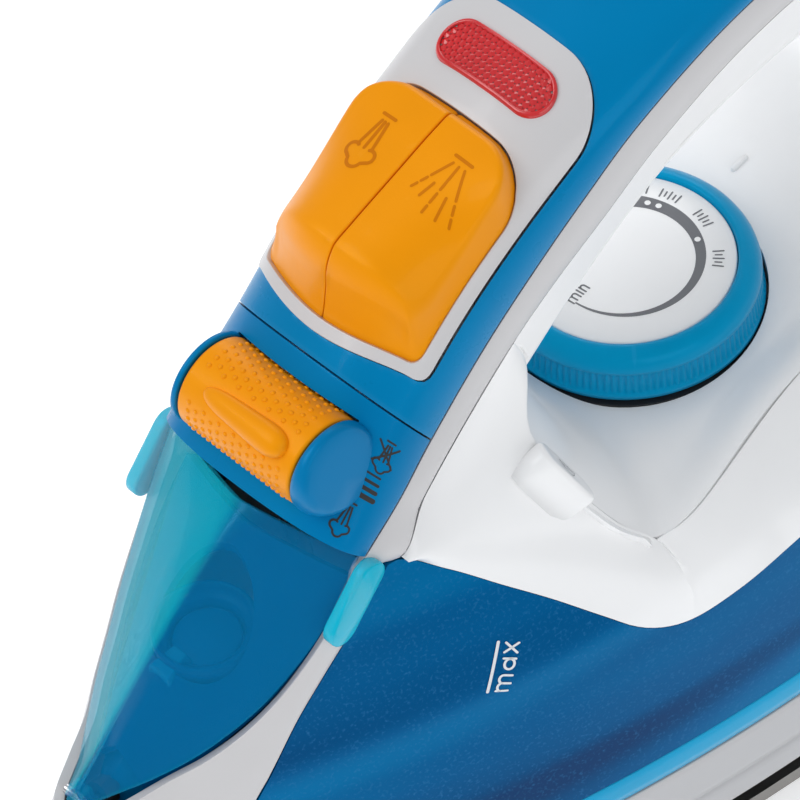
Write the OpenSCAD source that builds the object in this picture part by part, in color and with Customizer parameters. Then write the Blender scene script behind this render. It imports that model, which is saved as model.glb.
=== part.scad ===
// Steam iron. Millimetres, +Z up, tip towards -X, heel towards +X, left side -Y.
// The origin is on the table under the middle of the bounding box.

/* [Soleplate and heel] */
// Foremost point of the soleplate
tip_x = -135; // [-140:1:-130]
// Rear edge of the soleplate
heel_x0 = 103; // [101:1:104]
// Rearward lean of the heel rest, millimetres per millimetre of height
heel_lean = 0.27; // [0.24:0.01:0.28]
// Half of the largest width of the body
half_width = 59; // [57:1:60]
// Thickness of the soleplate
sole_t = 3; // [2.5:0.5:3.5]

/* [Layers of the body] */
// Bottom of the skirt
skirt_z = 7; // [6:0.5:8]
// Joint between the skirt and the bright band
band_z = 24; // [23:1:25]
// Joint between the bright band and the tank
tank_z = 30; // [29:1:31]
// Wall of the mouldings
wall = 2; // [1.6:0.2:2.2]

/* [Temperature dial] */
// Centre of the dial's face
dial_top = [22.9, 0, 82];
// Tilt of the dial's axis towards the heel, degrees
dial_tilt = 6; // [4:1:7]
// Radius at the foot of the dial's ring
dial_r = 23.8; // [23:0.2:24]
// Height of the dial's ring
dial_h = 9.5; // [9:0.5:10]

/* [Steam roller] */
// Axis of the roller
roller_x = -55.1; // [-55.5:0.1:-54.7]
// Height of the roller's axis
roller_z = 118.4; // [118:0.1:119]
// Radius of the roller
roller_r = 8.3; // [8:0.1:8.5]
// Half of the roller's length
roller_half = 13; // [12.5:0.1:13.2]

/* [Buttons] */
// Travel of the steam and spray buttons
button_travel = 5; // [4:0.5:5]
// Half width of the pair of buttons
button_half = 16.3; // [16:0.1:16.4]

/* [Filler] */
// Centre of the filler mouth
filler_x = -77; // [-78:0.5:-76]
// Radius of the filler mouth
filler_r = 9; // [8.5:0.5:9.5]

/* [Hidden] */

white = "#eeeeee";
grey = "#c6c7ca";
blue = "#0d78b4";
orange = "#f59b14";

// ---------- curves through knots [s, value]; a value is a number or a point ----------
function seg(k, s, i = 0) = (i >= len(k) - 2 || s < k[i + 1][0]) ? i : seg(k, s, i + 1);
function rate(k, i) = (k[i + 1][1] - k[i][1]) / (k[i + 1][0] - k[i][0]);
function knot_rate(k, i) = i == 0 ? rate(k, 0)
    : i == len(k) - 1 ? rate(k, i - 1) : (rate(k, i - 1) + rate(k, i)) / 2;
function curve(k, s) =
    let (i = seg(k, s), h = k[i + 1][0] - k[i][0], t = max(0, min(1, (s - k[i][0]) / h)))
    (2 * pow(t, 3) - 3 * pow(t, 2) + 1) * k[i][1] + (pow(t, 3) - 2 * pow(t, 2) + t) * h * knot_rate(k, i)
    + (3 * pow(t, 2) - 2 * pow(t, 3)) * k[i + 1][1] + (pow(t, 3) - pow(t, 2)) * h * knot_rate(k, i + 1);
function mix(a, b, t) = a + (b - a) * t;

// ---------- the lower body: half width of the horizontal section at height z ----------
front_k = [[0, 0], [6, 0.4], [28, 5], [50, 12], [68, 19.5], [120, 22]];
function front_x(z) = tip_x + curve(front_k, z);
function heel_x(z) = heel_x0 + heel_lean * z;
function nose_run(z) = mix(190, 175, min(1, z / 66));
function widest(z) = half_width - 2 * min(1, z / 66);
function shoulder(z) = z < 66 ? 1 : 1 - 0.31 * pow((z - 66) / 32, 1.2);
tip_round = 3.5;
function half_w(x, z) =
    let (s = max(0, x - front_x(z)), m = sqrt(s * s + 2 * tip_round * s), run = nose_run(z),
        nose = 1 - pow(max(0, 1 - m / run), 1.9),
        q = max(0, min(1, (x - 45) / (heel_x(z) - 45))))
    widest(z) * shoulder(z) * nose * (1 - 0.2 * q * q) * sqrt(1 - pow(q, 7));
// A point on the section's outline; u runs 0 to 2, tip, left side, heel, right side
function around(u, z) =
    let (x = mix(front_x(z), heel_x(z), (1 - cos(180 * u)) / 2))
    [x, -half_w(x, z) * sign(sin(180 * u))];
function inset_pt(u, z, d) =
    let (t = around(u + 0.004, z) - around(u - 0.004, z)) around(u, z) + d * [-t[1], t[0]] / norm(t);
function outline(z, d, n = 72) = [for (i = [0:n - 1]) inset_pt(2 * i / n, z, d)];
// A plate that keeps a distance d from the walls at height z, between x0 and x1
function slab(z, d, x0, x1, n = 28) = concat(
    [for (i = [0:n]) let (x = mix(x0, x1, i / n)) [x, -half_w(x, z) + d]],
    [for (i = [n:-1:0]) let (x = mix(x0, x1, i / n)) [x, half_w(x, z) - d]]);

// ---------- thick shell from a grid of outer points g[i][j] ----------
// t is the wall, or a list with one wall per column; wrap joins the last column to the first;
// open lists [i0, i1, j0, j1] blocks of missing cells
function is_open(open, i, j) =
    len([for (b = open) if (i >= b[0] && i < b[1] && j >= b[2] && j < b[3]) 1]) > 0;
function grid_normal(g, i, j, wrap) =
    let (n = len(g), m = len(g[0]),
        a = g[wrap ? (i + 1) % n : min(i + 1, n - 1)][j] - g[wrap ? (i + n - 1) % n : max(i - 1, 0)][j],
        b = g[i][min(j + 1, m - 1)] - g[i][max(j - 1, 0)], c = cross(a, b))
    c / max(norm(c), 0.0001);
module thick_grid(g, t, wrap = false, open = []) {
    n = len(g);
    m = len(g[0]);
    last = wrap ? n : n - 1;
    inner = [for (i = [0:n - 1]) for (j = [0:m - 1])
        g[i][j] - (is_list(t) ? t[i] : t) * grid_normal(g, i, j, wrap)];
    outer = [for (i = [0:n - 1]) for (j = [0:m - 1]) g[i][j]];
    function p(i, j) = (i % n) * m + j;
    function q(i, j) = n * m + p(i, j);
    function gone(i, j) = j < 0 || j >= m - 1 || (!wrap && (i < 0 || i >= n - 1))
        || is_open(open, (i + n) % n, j);
    cells = [for (i = [0:last - 1]) for (j = [0:m - 2]) if (!is_open(open, i, j)) [i, j]];
    skins = [for (c = cells) let (i = c[0], j = c[1]) each [
        [p(i, j), p(i, j + 1), p(i + 1, j + 1)], [p(i, j), p(i + 1, j + 1), p(i + 1, j)],
        [q(i, j), q(i + 1, j + 1), q(i, j + 1)], [q(i, j), q(i + 1, j), q(i + 1, j + 1)]]];
    rims = [for (c = cells) let (i = c[0], j = c[1]) each concat(
        gone(i - 1, j) ? [[p(i, j), q(i, j), q(i, j + 1)], [p(i, j), q(i, j + 1), p(i, j + 1)]] : [],
        gone(i + 1, j) ? [[p(i + 1, j), q(i + 1, j + 1), q(i + 1, j)],
            [p(i + 1, j), p(i + 1, j + 1), q(i + 1, j + 1)]] : [],
        gone(i, j - 1) ? [[p(i, j), q(i + 1, j), q(i, j)], [p(i, j), p(i + 1, j), q(i + 1, j)]] : [],
        gone(i, j + 1) ? [[p(i, j + 1), q(i, j + 1), q(i + 1, j + 1)],
            [p(i, j + 1), q(i + 1, j + 1), p(i + 1, j + 1)]] : [])];
    polyhedron(concat(outer, inner), concat(skins, rims), convexity = 6);
}
module ring_shell(z0, z1, n = 72, t = wall) {
    thick_grid([for (i = [0:n - 1]) [for (z = [z0, z1])
        let (c = around(2 * i / n, z)) [c[0], c[1], z]]], t, true);
}
module on_both_sides() {
    children();
    mirror([0, 1, 0]) children();
}

// ---------- rails: the long seams of the upper body, left side, as [station, point] ----------
// Stations -10 to 0 run up the nose, 0 is the front of the control panel, 2 its rear seam,
// 6 the rear of the bezel and 12 the heel end of the handle.
crest_k = [[0, [-64.5, 0, 110.4]], [1, [-54.5, 0, 119]], [2, [-45.5, 0, 127.3]],
    [3, [-31, 0, 138.5]], [4, [-19, 0, 145]], [5, [-5, 0, 150]], [6, [10.8, 0, 154.3]],
    [7, [34, 0, 157.6]], [8, [59, 0, 157]], [9, [84, 0, 151]], [10, [106, 0, 140]],
    [11, [123.5, 0, 127.5]], [12, [134.6, 0, 117]]];
edge_k = [[-10, [-114, 0, 68.6]], [-9, [-110.6, -4.4, 69]], [-8, [-104.2, -7.4, 70.3]],
    [-7, [-97.7, -10, 71.8]], [-6, [-91.8, -13.3, 74]], [-5, [-85.8, -16, 77]],
    [-4, [-80, -18.3, 81.2]], [-3, [-74, -20, 86.2]], [-2, [-68, -21.3, 92]],
    [-1, [-62.6, -22, 98]], [0, [-58, -22.3, 103.5]], [1, [-48.5, -21.8, 108.8]],
    [2, [-39.4, -21.1, 115]], [3, [-26, -21, 124.6]], [4, [-13.5, -21, 132]],
    [5, [0, -21, 138.8]], [6, [14.5, -21, 144.9]], [7, [35.5, -21, 149.4]],
    [8, [58, -21, 149.2]], [9, [81, -21, 143.2]], [10, [101, -21.6, 132]],
    [11, [117.3, -22.8, 119.8]], [12, [131, -23.6, 107.5]]];
lower_k = [[-10, [-127.8, 0, 34]], [-9, [-120, 0, 36]], [-8, [-108.5, 0, 42]],
    [-7, [-97, 0, 50.6]], [-6, [-89.5, 0, 60]], [-5, [-83.5, 0, 68]], [-4, [-77, 0, 76.3]],
    [-3, [-70.5, 0, 83]], [-2, [-64.5, 0, 88.4]], [-1, [-58.7, 0, 93.2]],
    [0, [-53.2, -22.6, 97.6]], [1, [-44, -21.5, 103.5]], [2, [-35, -21.3, 110.4]],
    [3, [-22.5, -21.2, 119]], [4, [-10.5, -21.3, 125.6]], [5, [3, -21.5, 131.5]],
    [6, [17.5, -21.5, 137.4]], [7, [37, -21.5, 141.9]], [8, [57.5, -21.5, 141.8]],
    [9, [78.8, -21.5, 135.8]], [10, [97, -22.2, 125]], [11, [112.3, -23.8, 112.6]],
    [12, [128.2, -24.8, 98]]];
function crest(s) = curve(crest_k, s);
function edge(s) = curve(edge_k, s);
// On the nose the lower rail lies on the body's outer surface
function lower(s) = let (p = curve(lower_k, s))
    s < 0 ? [p[0], mix(-half_w(p[0], p[2]), p[1], max(0, s + 1) * max(0, s + 1)), p[2]] : p;

// Crown over the panel and the handle; a runs -1 (left edge) to 1 (right edge)
function crown(s, a, lift = 0) =
    let (c = crest(s), e = edge(s), k = pow(cos(90 * abs(a)), 0.86), h = pow(sin(90 * abs(a)), 0.86))
    [mix(e[0], c[0], k), -e[1] * h * sign(a), mix(e[2], c[2], k)]
    + lift * unit(crest(s) - [edge(s)[0], 0, edge(s)[2]]);
function unit(v) = v / norm(v);

// ---------- soleplate and heater ----------
module steam_holes() {
    for (row = [0:6]) for (k = [0:row > 4 ? 1 : 2]) for (side = [-1, 1])
        translate([-112 + 20 * row + 5 * k, side * (4 + row * 5.4 + 4 * k), -1])
            cylinder(r = 1.5, h = sole_t + 2, $fn = 20);
}
module soleplate() {
    color("#8b8a88") difference() {
        linear_extrude(sole_t) polygon(outline(1, 0.8, 96));
        steam_holes();
    }
}
module heater_casting() {
    color("#9a9a98") translate([0, 0, sole_t]) difference() {
        linear_extrude(12) polygon(slab(8, 9, -119, 95));
        translate([0, 0, 4]) linear_extrude(9) polygon(slab(8, 19, -97, 86));
    }
}
element_half = 17;
module heating_element() {
    color("#5b5b5e") translate([-12, 0, sole_t + 8]) {
        rotate([0, 0, 90]) rotate_extrude(angle = 180) translate([element_half, 0]) circle(r = 3.4);
        for (side = [-1, 1]) translate([0, side * element_half, 0]) {
            rotate([0, 90, 0]) cylinder(r = 3.4, h = 84);
            translate([80, 0, 0]) cylinder(r = 2, h = 14.4);
        }
    }
}
module chamber_gasket() {
    color("#b0442f") translate([0, 0, sole_t + 12]) linear_extrude(0.8) difference() {
        polygon(slab(8, 11, -115, 93));
        polygon(slab(8, 17, -102, 88));
    }
}
valve_x = roller_x;
module chamber_cover() {
    color("#a8a9ab") translate([0, 0, sole_t + 12.8]) difference() {
        linear_extrude(1.5) polygon(slab(8, 10, -117, 94));
        translate([valve_x, 0, -1]) cylinder(r = 2.6, h = 4);
        for (side = [-1, 1]) translate([68, side * element_half, -1]) cylinder(r = 3.5, h = 4);
    }
}
module lower_skirt() { color(grey) ring_shell(skirt_z, band_z - 0.1); }
module tank_band() { color("#18a0d4") ring_shell(band_z, tank_z - 0.1); }

// ---------- tank ----------
joint_gap = 1.9;
// Height of the tank's upper joint along the side
tank_top_k = [[-127.8, 34], [-120, 36], [-108.5, 42], [-97, 50.6], [-89.5, 60],
    [-83.5, 68], [-77, 76.3], [-70.5, 83], [-64.5, 88.4], [-58.7, 93.2], [-53.2, 97.6],
    [-46, 91.4], [-39.4, 84], [-33.4, 77.4], [-27.6, 70.4], [-21.6, 63.4], [-15.5, 60],
    [-5, 60.2], [10, 64], [26, 66.8], [48, 68], [80, 67], [105, 62.5], [120, 57]];
function tank_top(x) = curve(tank_top_k, x);
function tank_rim(u, x, n = 5) = n == 0 ? tank_top(x) : tank_rim(u, around(u, tank_top(x))[0], n - 1);
function tank_pt(u, v) =
    let (z = mix(tank_z, tank_rim(u, around(u, tank_z)[0]) - joint_gap, v), c = around(u, z))
    [c[0], c[1], z];
module water_tank() {
    n = 96;
    color("#1463a3", 0.8) thick_grid([for (i = [0:n - 1]) [for (j = [0:5]) tank_pt(2 * i / n, j / 5)]],
        wall, true);
}
module tank_floor() {
    color("#d9dadc") translate([0, 0, band_z + 2]) difference() {
        linear_extrude(2) polygon(slab(band_z + 3, wall + 1, -120, 94));
        translate([valve_x, 0, -1]) cylinder(r = 4, h = 4);
        dial_hole(4.5, -band_z - 2);
    }
}
lid_z = 52;
module tank_lid() {
    color("#e4e5e7") translate([0, 0, lid_z]) difference() {
        linear_extrude(1.8) polygon(slab(lid_z, wall + 1.2, -113, 105));
        translate([valve_x, 0, -1]) cylinder(r = 2.4, h = 4);
        translate([filler_x, 0, -1]) cylinder(r = filler_r + 1.7, h = 4);
        dial_hole(4.5, -lid_z);
    }
}
module valve_seat() {
    color("#c7a24a") translate([valve_x, 0, sole_t + 14.3]) difference() {
        cylinder(r = 3.9, h = 17);
        translate([0, 0, -1]) cylinder(r = 2.1, h = 19);
    }
}
module valve_needle() {
    color("#b9bbbe") translate([valve_x, 0, sole_t + 20]) {
        cylinder(r = 2.03, h = roller_z - roller_r - 1.4 - sole_t - 20);
    }
}

// ---------- nose and side trim ----------
function trim_pt(q, v) =
    let (s = abs(q) - 10, e = edge(s), l = lower(s), p = mix(l, e, v), bow = 4 * v * (1 - v))
    [p[0] - (s < -5 ? 1.6 * bow : 0), (p[1] - 0.7 * bow * (s < -9.6 ? 0 : 1)) * (q < 0 ? -1 : 1), p[2]];
trim_steps = [for (q = [-22:1:-14]) q, for (q = [-13:0.5:13]) q, for (q = [14:1:22]) q];
module nose_trim() {
    color(grey) thick_grid([for (q = trim_steps) [for (v = [0.012, 0.34, 0.67, 0.988]) trim_pt(q, v)]],
        1.8);
}

// ---------- white shell: pillar, handle band and body side of one half ----------
// Rows: 0 tank joint, 2 deck edge, 4 lower edge of the handle band, 5 trim joint
hole_front = [[0, [-13, -49.3, 60.3]], [1, [-12.6, -46.6, 68.2]], [2, [-12.6, -40.4, 74.6]],
    [2.5, [-17.4, -37.2, 81]], [3, [-21.5, -30.5, 92]], [3.5, [-22.3, -23.5, 102]],
    [4, [-17, -19.8, 110.4]], [5, [-19.5, -21.2, 120.6]]];
function tank_edge(x) = [x, -half_w(x, tank_top(x)), tank_top(x)];
// Column c: 0 to 4 is the pillar, 4 to 12 runs to the heel
deck_edge_k = [[4, [-12.6, -40.4, 74.6]], [5, [-3, -41, 74.3]], [6, [22, -36.2, 74.6]],
    [7, [38, -34.8, 74.8]], [8, [54, -34.6, 75.2]], [9, [72, -34.6, 76.4]], [10, [86, -34.4, 79]],
    [11, [104, -33.6, 80.6]], [12, [123.2, -25.4, 80]]];
// Soft crease between the side of the body and its shoulder
crease_k = [[4, [-12.6, -46.6, 68.2]], [5, [0, -47.8, 67.8]], [6, [16, -46.6, 69.2]],
    [7, [36, -46, 70.6]], [8, [54, -45.8, 71]], [9, [72, -45.6, 71.4]], [10, [88, -44.6, 72]],
    [11, [104, -39.6, 71.6]], [12, [120.6, -25.4, 70]]];
tank_run_k = [[0, -51.5], [1, -44], [2, -36], [3, -27.6], [4, -13], [5, -2], [6, 18], [7, 36],
    [8, 54], [9, 72], [10, 88], [11, 103.5], [12, 116.4]];
trim_run_k = [[0, 0.15], [1, 1], [2, 2], [3, 2.62], [4, 3.25], [5, 4.5], [6, 6], [7, 7], [8, 8], [9, 9],
    [10, 10], [11, 11], [12, 12]];
function band_edge(c) = c <= 4 ? hole_front[6][1] : curve([[4, hole_front[6][1]],
    [5, [1.5, -19.6, 121]], [6, [20, -19.5, 128.4]], [7, [37, -19.5, 130.6]], [8, [55, -19.5, 130]],
    [9, [72, -19.5, 124.8]], [10, [85, -21, 114]], [11, [103.5, -24.6, 104]],
    [12, [126, -25.4, 91]]], c);
function side_pt(c, r) =
    let (low = tank_edge(curve(tank_run_k, c)), high = lower(curve(trim_run_k, c)),
        ease = c < 4 ? c / 4 : 1,
        pillar = mix(low, high, r / 5), bow = 1.5 * sin(36 * r) * (1 - ease))
    c <= 4 ? mix(pillar - [0, bow, 0], curve(hole_front, r), pow(ease, 2.2))
    : r <= 2 ? curve([[0, low], [1, curve(crease_k, c)], [2, curve(deck_edge_k, c)]], r)
    : r >= 4 ? mix(band_edge(c), high, r - 4)
    : mix(curve(deck_edge_k, c), band_edge(c), (r - 2) / 2);
side_columns = concat([for (c = [0:0.5:11]) c], [11.25, 11.5, 11.75, 12]);
side_rows = [0.05, 1, 2, 2.5, 3, 3.5, 4, 4.97];
module body_half() {
    thick_grid([for (c = side_columns) [for (r = side_rows) side_pt(c, r)]], wall,
        open = [[8, 20, 2, 6]]);
}
module body_shell_left() {
    color(white) difference() {
        body_half();
        on_pillar() translate([0, 0, -13]) pill(5, 4.6, 24);
    }
}
module body_shell_right() { color(white) mirror([0, 1, 0]) body_half(); }

// ---------- deck and handle underside ----------
deck_mid_k = [[0, [-14, 0, 104.6]], [1, [-13, 0, 98]], [2, [-9.5, 0, 87]], [3, [-5.5, 0, 79]],
    [4, [0, 0, 74.2]], [5, [8, 0, 72.8]], [6, [24, 0, 72.3]], [7, [54, 0, 72.4]], [8, [76, 0, 74.5]],
    [9, [84, 0, 82]], [10, [85, 0, 94]], [11, [82.5, 0, 108]]];
deck_side_k = [[0, [-18.3, -19.9, 108.6]], [1, [-22.1, -24, 101]], [2, [-20.5, -32, 89.5]],
    [3, [-16.8, -37.7, 80.2]], [4, [-12.5, -40.3, 74.6]], [5, [-3, -40.9, 74.3]],
    [6, [22, -36.1, 74.6]], [7, [54, -34.5, 75.1]], [8, [80, -34.4, 77.6]],
    [9, [87, -30.5, 86]], [10, [88.5, -25, 98]], [11, [86, -21.5, 112]]];
function ease(t) = let (c = max(0, min(1, t))) c * c * (3 - 2 * c);
// The deck is flat behind the dial and sweeps up at both ends
function deck_pt(s, a) =
    let (m = curve(deck_mid_k, s), e = curve(deck_side_k, s), k = pow(abs(a), 2.6),
        flat = ease((s - 3) / 1.5) * ease((8.6 - s) / 1.2))
    [mix(m[0], e[0], k), e[1] * -sign(a) * pow(abs(a), 0.96),
        mix(m[2], e[2], mix(k, ease((abs(a) - 0.72) / 0.26), flat))];
module deck_panel() {
    color(white) difference() {
        thick_grid([for (s = [0:0.5:11]) [for (j = [-8:8]) deck_pt(s, 0.935 * j / 8)]], wall);
        on_dial_axis() translate([0, 0, -dial_h - 6]) cylinder(r = dial_r + 0.5, h = 30);
        on_pillar() translate([0, 0, -13]) pill(5, 4.6, 24);
    }
}
under_mid_k = [[0, [-13.6, 0, 105.4]], [1, [-3, 0, 112]], [2, [10, 0, 118.5]], [3, [22, 0, 122.6]],
    [4, [37, 0, 124.6]], [5, [54, 0, 123.6]], [6, [69, 0, 118.8]], [7, [82, 0, 109.2]]];
under_side_k = [[0, [-16.6, -17, 110]], [1, [-5, -17, 117]], [2, [9, -17, 123.9]],
    [3, [21, -17, 128.1]], [4, [37, -17, 130.1]], [5, [55, -17, 129.5]],
    [6, [71.5, -17, 124.5]], [7, [84, -17.8, 114]]];
function under_pt(s, a) =
    let (m = curve(under_mid_k, s), e = curve(under_side_k, s), k = pow(cos(90 * abs(a)), 0.9))
    [mix(e[0], m[0], k), e[1] * -sign(a) * pow(sin(90 * abs(a)), 0.9), mix(e[2], m[2], k)];
module handle_underside() {
    color(white) thick_grid([for (s = [0:0.5:7]) [for (j = [5:-1:-5]) under_pt(s, 0.985 * j / 5)]], wall);
}

// ---------- filler: cap, bed and neck ----------
ridge_k = [[0, [-109.3, 0, 73.2]], [0.5, [-87.2, 0, 90.2]], [1, [-64.6, 0, 107]]];
cap_edge_k = [[0, [-110.3, -2, 70.6]], [0.12, [-104.6, -4.8, 70.8]], [0.24, [-98.8, -8.4, 72.3]],
    [0.36, [-92.6, -12, 74.8]], [0.48, [-86.4, -14.9, 78]], [0.6, [-80.4, -17.4, 82]],
    [0.72, [-74.3, -19.3, 87]], [0.84, [-68.4, -20.8, 92.8]], [0.93, [-63.8, -20.5, 99.8]],
    [1, [-59.8, -20.5, 104.6]]];
function cap_pt(t, a) =
    let (r = curve(ridge_k, t), e = curve(cap_edge_k, t), d = pow(abs(a), 1.2))
    [mix(r[0], e[0], d), -e[1] * sign(a) * pow(abs(a), 0.92), mix(r[2], e[2], d)];
module cap_ear() {
    translate([-62.6, -25.4, 97.7]) rotate([0, -40, 0]) {
        cube([10, 2.4, 6.4], center = true);
        for (e = [-5, 5]) translate([e, 0, 0]) rotate([90, 0, 0]) cylinder(r = 3.2, h = 2.4, center = true);
        translate([-1, 2.8, 2.2]) cube([8, 5.4, 2], center = true);
    }
}
hinge_x = -108.6;
hinge_z = 68.8;
pin_r = 0.9;
// The cap's wall thins where the cap narrows to the front
cap_wall_share = 0.16;
module filler_cap() {
    color("#28b4dc", 0.5)
        thick_grid([for (i = [0:12]) [for (j = [-6:6]) cap_pt(i / 12, j / 6)]],
            [for (i = [0:12]) min(1.5, cap_wall_share * abs(cap_pt(i / 12, 1)[1]))]);
}
module cap_ears() {
    color("#28b4dc", 0.5) on_both_sides() cap_ear();
}
module cap_knuckle() {
    color("#28b4dc", 0.5) translate([hinge_x, 0, hinge_z]) difference() {
        union() {
            rotate([90, 0, 0]) cylinder(r = 1.9, h = 3.4, center = true);
            translate([-0.8, -1.7, 0]) cube([2.4, 3.4, 3.4]);
        }
        rotate([90, 0, 0]) cylinder(r = pin_r + 0.05, h = 8, center = true);
    }
}
module cap_pin() {
    color("#c9cacc") translate([hinge_x, 0, hinge_z]) rotate([90, 0, 0])
        cylinder(r = pin_r, h = 7.4, center = true);
}
function bed_pt(t, a) = let (p = cap_pt(t, a)) [p[0] + 2.4, p[1] * 0.86, p[2] - 4.2 - 1.2 * (1 - abs(a))];
module filler_bed() {
    color("#0a6aa6") difference() {
        thick_grid([for (t = [0.2:0.1:0.9001]) [for (j = [-4:4]) bed_pt(t, j / 4)]], 1.6);
        translate([filler_x, 0, 60]) cylinder(r = filler_r + 2.7, h = 50);
    }
}
neck_top = 83.2;
module filler_neck() {
    color("#0a6aa6") translate([filler_x, 0, 0]) difference() {
        union() {
            translate([0, 0, lid_z - 8]) cylinder(r = filler_r + 1.5, h = 40);
            translate([0, 0, neck_top - 2]) cylinder(r = filler_r + 2.6, h = 2);
        }
        translate([0, 0, lid_z - 9]) cylinder(r = filler_r, h = 60);
        translate([-30, -30, neck_top]) cube([60, 60, 20]);
    }
}
module spray_nozzle() {
    color("#2b5f80") translate([-103, 0, 66]) rotate([0, -78, 0]) difference() {
        union() {
            cylinder(r = 2.6, h = 2.4);
            translate([0, 0, -6]) cylinder(r = 1.8, h = 7);
        }
        translate([0, 0, 1]) cylinder(r = 0.7, h = 6);
    }
}

// ---------- control panel and roller ----------
axle_r = 2;
module control_panel() {
    color("#0a6db0") {
        difference() {
            thick_grid([for (s = [0.02:0.245:1.9801]) [for (j = [-7:7]) crown(s, 0.99 * j / 7)]], 1.8);
            translate([roller_x, 0, roller_z]) rotate([90, 0, 0])
                cylinder(r = roller_r + 0.5, h = 37.6, center = true);
        }
        on_both_sides() translate([roller_x, -roller_half - 0.5, roller_z]) rotate([90, 0, 0])
            difference() {
                union() {
                    cylinder(r = roller_r + 0.1, h = 4.4);
                    translate([0, 0, 4.4]) cylinder(r1 = roller_r + 0.1, r2 = roller_r - 1.6, h = 1.4);
                }
                translate([0, 0, -1]) cylinder(r = axle_r + 0.06, h = 5);
            }
    }
}
module roller_cradle() {
    color("#3b3f45") difference() {
        translate([-58, -18.4, 104.6]) cube([12, 36.8, 1.8]);
        translate([valve_x, 0, 100]) cylinder(r = 2.4, h = 10);
    }
}
module roller_axle() {
    color("#c9cacc") translate([roller_x, 0, roller_z]) rotate([90, 0, 0])
        cylinder(r = axle_r, h = 2 * roller_half + 8, center = true);
}
module steam_roller() {
    color(orange) translate([roller_x, 0, roller_z]) {
        rotate([90, 0, 0]) difference() {
            cylinder(r = roller_r, h = 2 * roller_half, center = true);
            cylinder(r = axle_r, h = 40, center = true);
        }
        rotate([0, -40, 0]) translate([0, 0, roller_r - 0.4]) {
            cube([2.2, 15, 3], center = true);
            for (e = [-7.5, 7.5]) translate([0, e, -1.5]) cylinder(r = 1.1, h = 3);
        }
    }
}

// ---------- buttons, bezel and lens ----------
// Plan outline of the bezel and of the pair of buttons: a bowed front, round rear corners
function bowed_plan(x0, bow, x1, half, corner) = concat(
    [for (k = [-6:6]) [x0 + bow * pow(k / 6, 2), half * k / 6]],
    [for (a = [0:15:90]) [x1 - corner + corner * sin(a), half - corner + corner * cos(a)]],
    [for (a = [90:-15:0]) [x1 - corner + corner * sin(a), -half + corner - corner * cos(a)]]);
module bezel_plan(d) { polygon(bowed_plan(-42.6 - d, 5.6, 12.6 + d, 18.4 + d, 11)); }
module button_plan(d) { polygon(bowed_plan(-39.9 - d, 4.4, -5.7 + d, button_half + d, 9)); }
lens_x = 3.4;
lens_half = 8;
lens_r = 4.3;
module lens_plan(d) {
    translate([lens_x, 0]) {
        square([2 * lens_r + 2 * d, 2 * lens_half], center = true);
        for (side = [-1, 1]) translate([0, side * lens_half]) circle(r = lens_r + d, $fn = 48);
    }
}
module button_bezel() {
    color(grey) intersection() {
        thick_grid([for (s = [1.9:0.3:6.401]) [for (j = [-6:6]) crown(s, 0.78 * j / 6, 0.7)]], 3);
        translate([0, 0, 100]) linear_extrude(70) difference() {
            bezel_plan(0);
            button_plan(0.35);
            lens_plan(0.1);
        }
    }
}
module indicator_lens() {
    color("#c01820") intersection() {
        translate([0, 0, 147]) linear_extrude(10) lens_plan(0);
        translate([lens_x, 0, 153.6 - 60]) rotate([0, 80, 0]) cylinder(r = 60, h = 60, center = true);
    }
}
module indicator_lamp() {
    color("#f3d9b0") translate([lens_x, 0, 138.2]) {
        cylinder(r = 2.4, h = 6);
        translate([0, 0, 6]) sphere(r = 2.4);
    }
}
// Side profile of a button, front to rear
button_side = [[-40.2, 128.6], [-39.7, 133.9], [-38.9, 139.5], [-38, 142.2], [-36.6, 144], [-34.5, 145.2],
    [-29.5, 146.7], [-19.2, 149.4], [-13.1, 150.9], [-5.2, 152.3], [-5.2, 143.6], [-20, 139], [-31, 131.4]];
module button_blank(y0, y1) {
    intersection() {
        translate([0, y1, 0]) rotate([90, 0, 0]) linear_extrude(y1 - y0) polygon(button_side);
        translate([0, 0, 120]) linear_extrude(40) button_plan(0);
    }
}
module one_button(y0, y1) {
    difference() {
        button_blank(y0, y1);
        translate([0.4, 0, -2.6]) button_blank(y0 + 1.6, y1 - 2.2);
    }
}
module steam_button() { color(orange) one_button(0.2, button_half + 1); }
module spray_button() { color(orange) mirror([0, 1, 0]) one_button(0.2, button_half + 1); }
pump_x = -23;
pump_y = 8.4;
plunger_top = 147;
flange_z = 141;
module plunger(side) {
    color("#e6e7e9") translate([pump_x, side * pump_y, 0]) {
        translate([0, 0, 112]) cylinder(r = 3.45, h = plunger_top - 112);
        translate([0, 0, flange_z]) cylinder(r = 5.1, h = 1.4);
    }
}
module steam_plunger() { plunger(1); }
module spray_plunger() { plunger(-1); }
module pump(side) {
    color("#d5d7da") translate([pump_x, side * pump_y, 0]) difference() {
        translate([0, 0, 100]) cylinder(r = 5.4, h = 26);
        translate([0, 0, 103]) cylinder(r = 3.5, h = 30);
    }
}
module steam_pump() { pump(1); }
module spray_pump() { pump(-1); }
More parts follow.
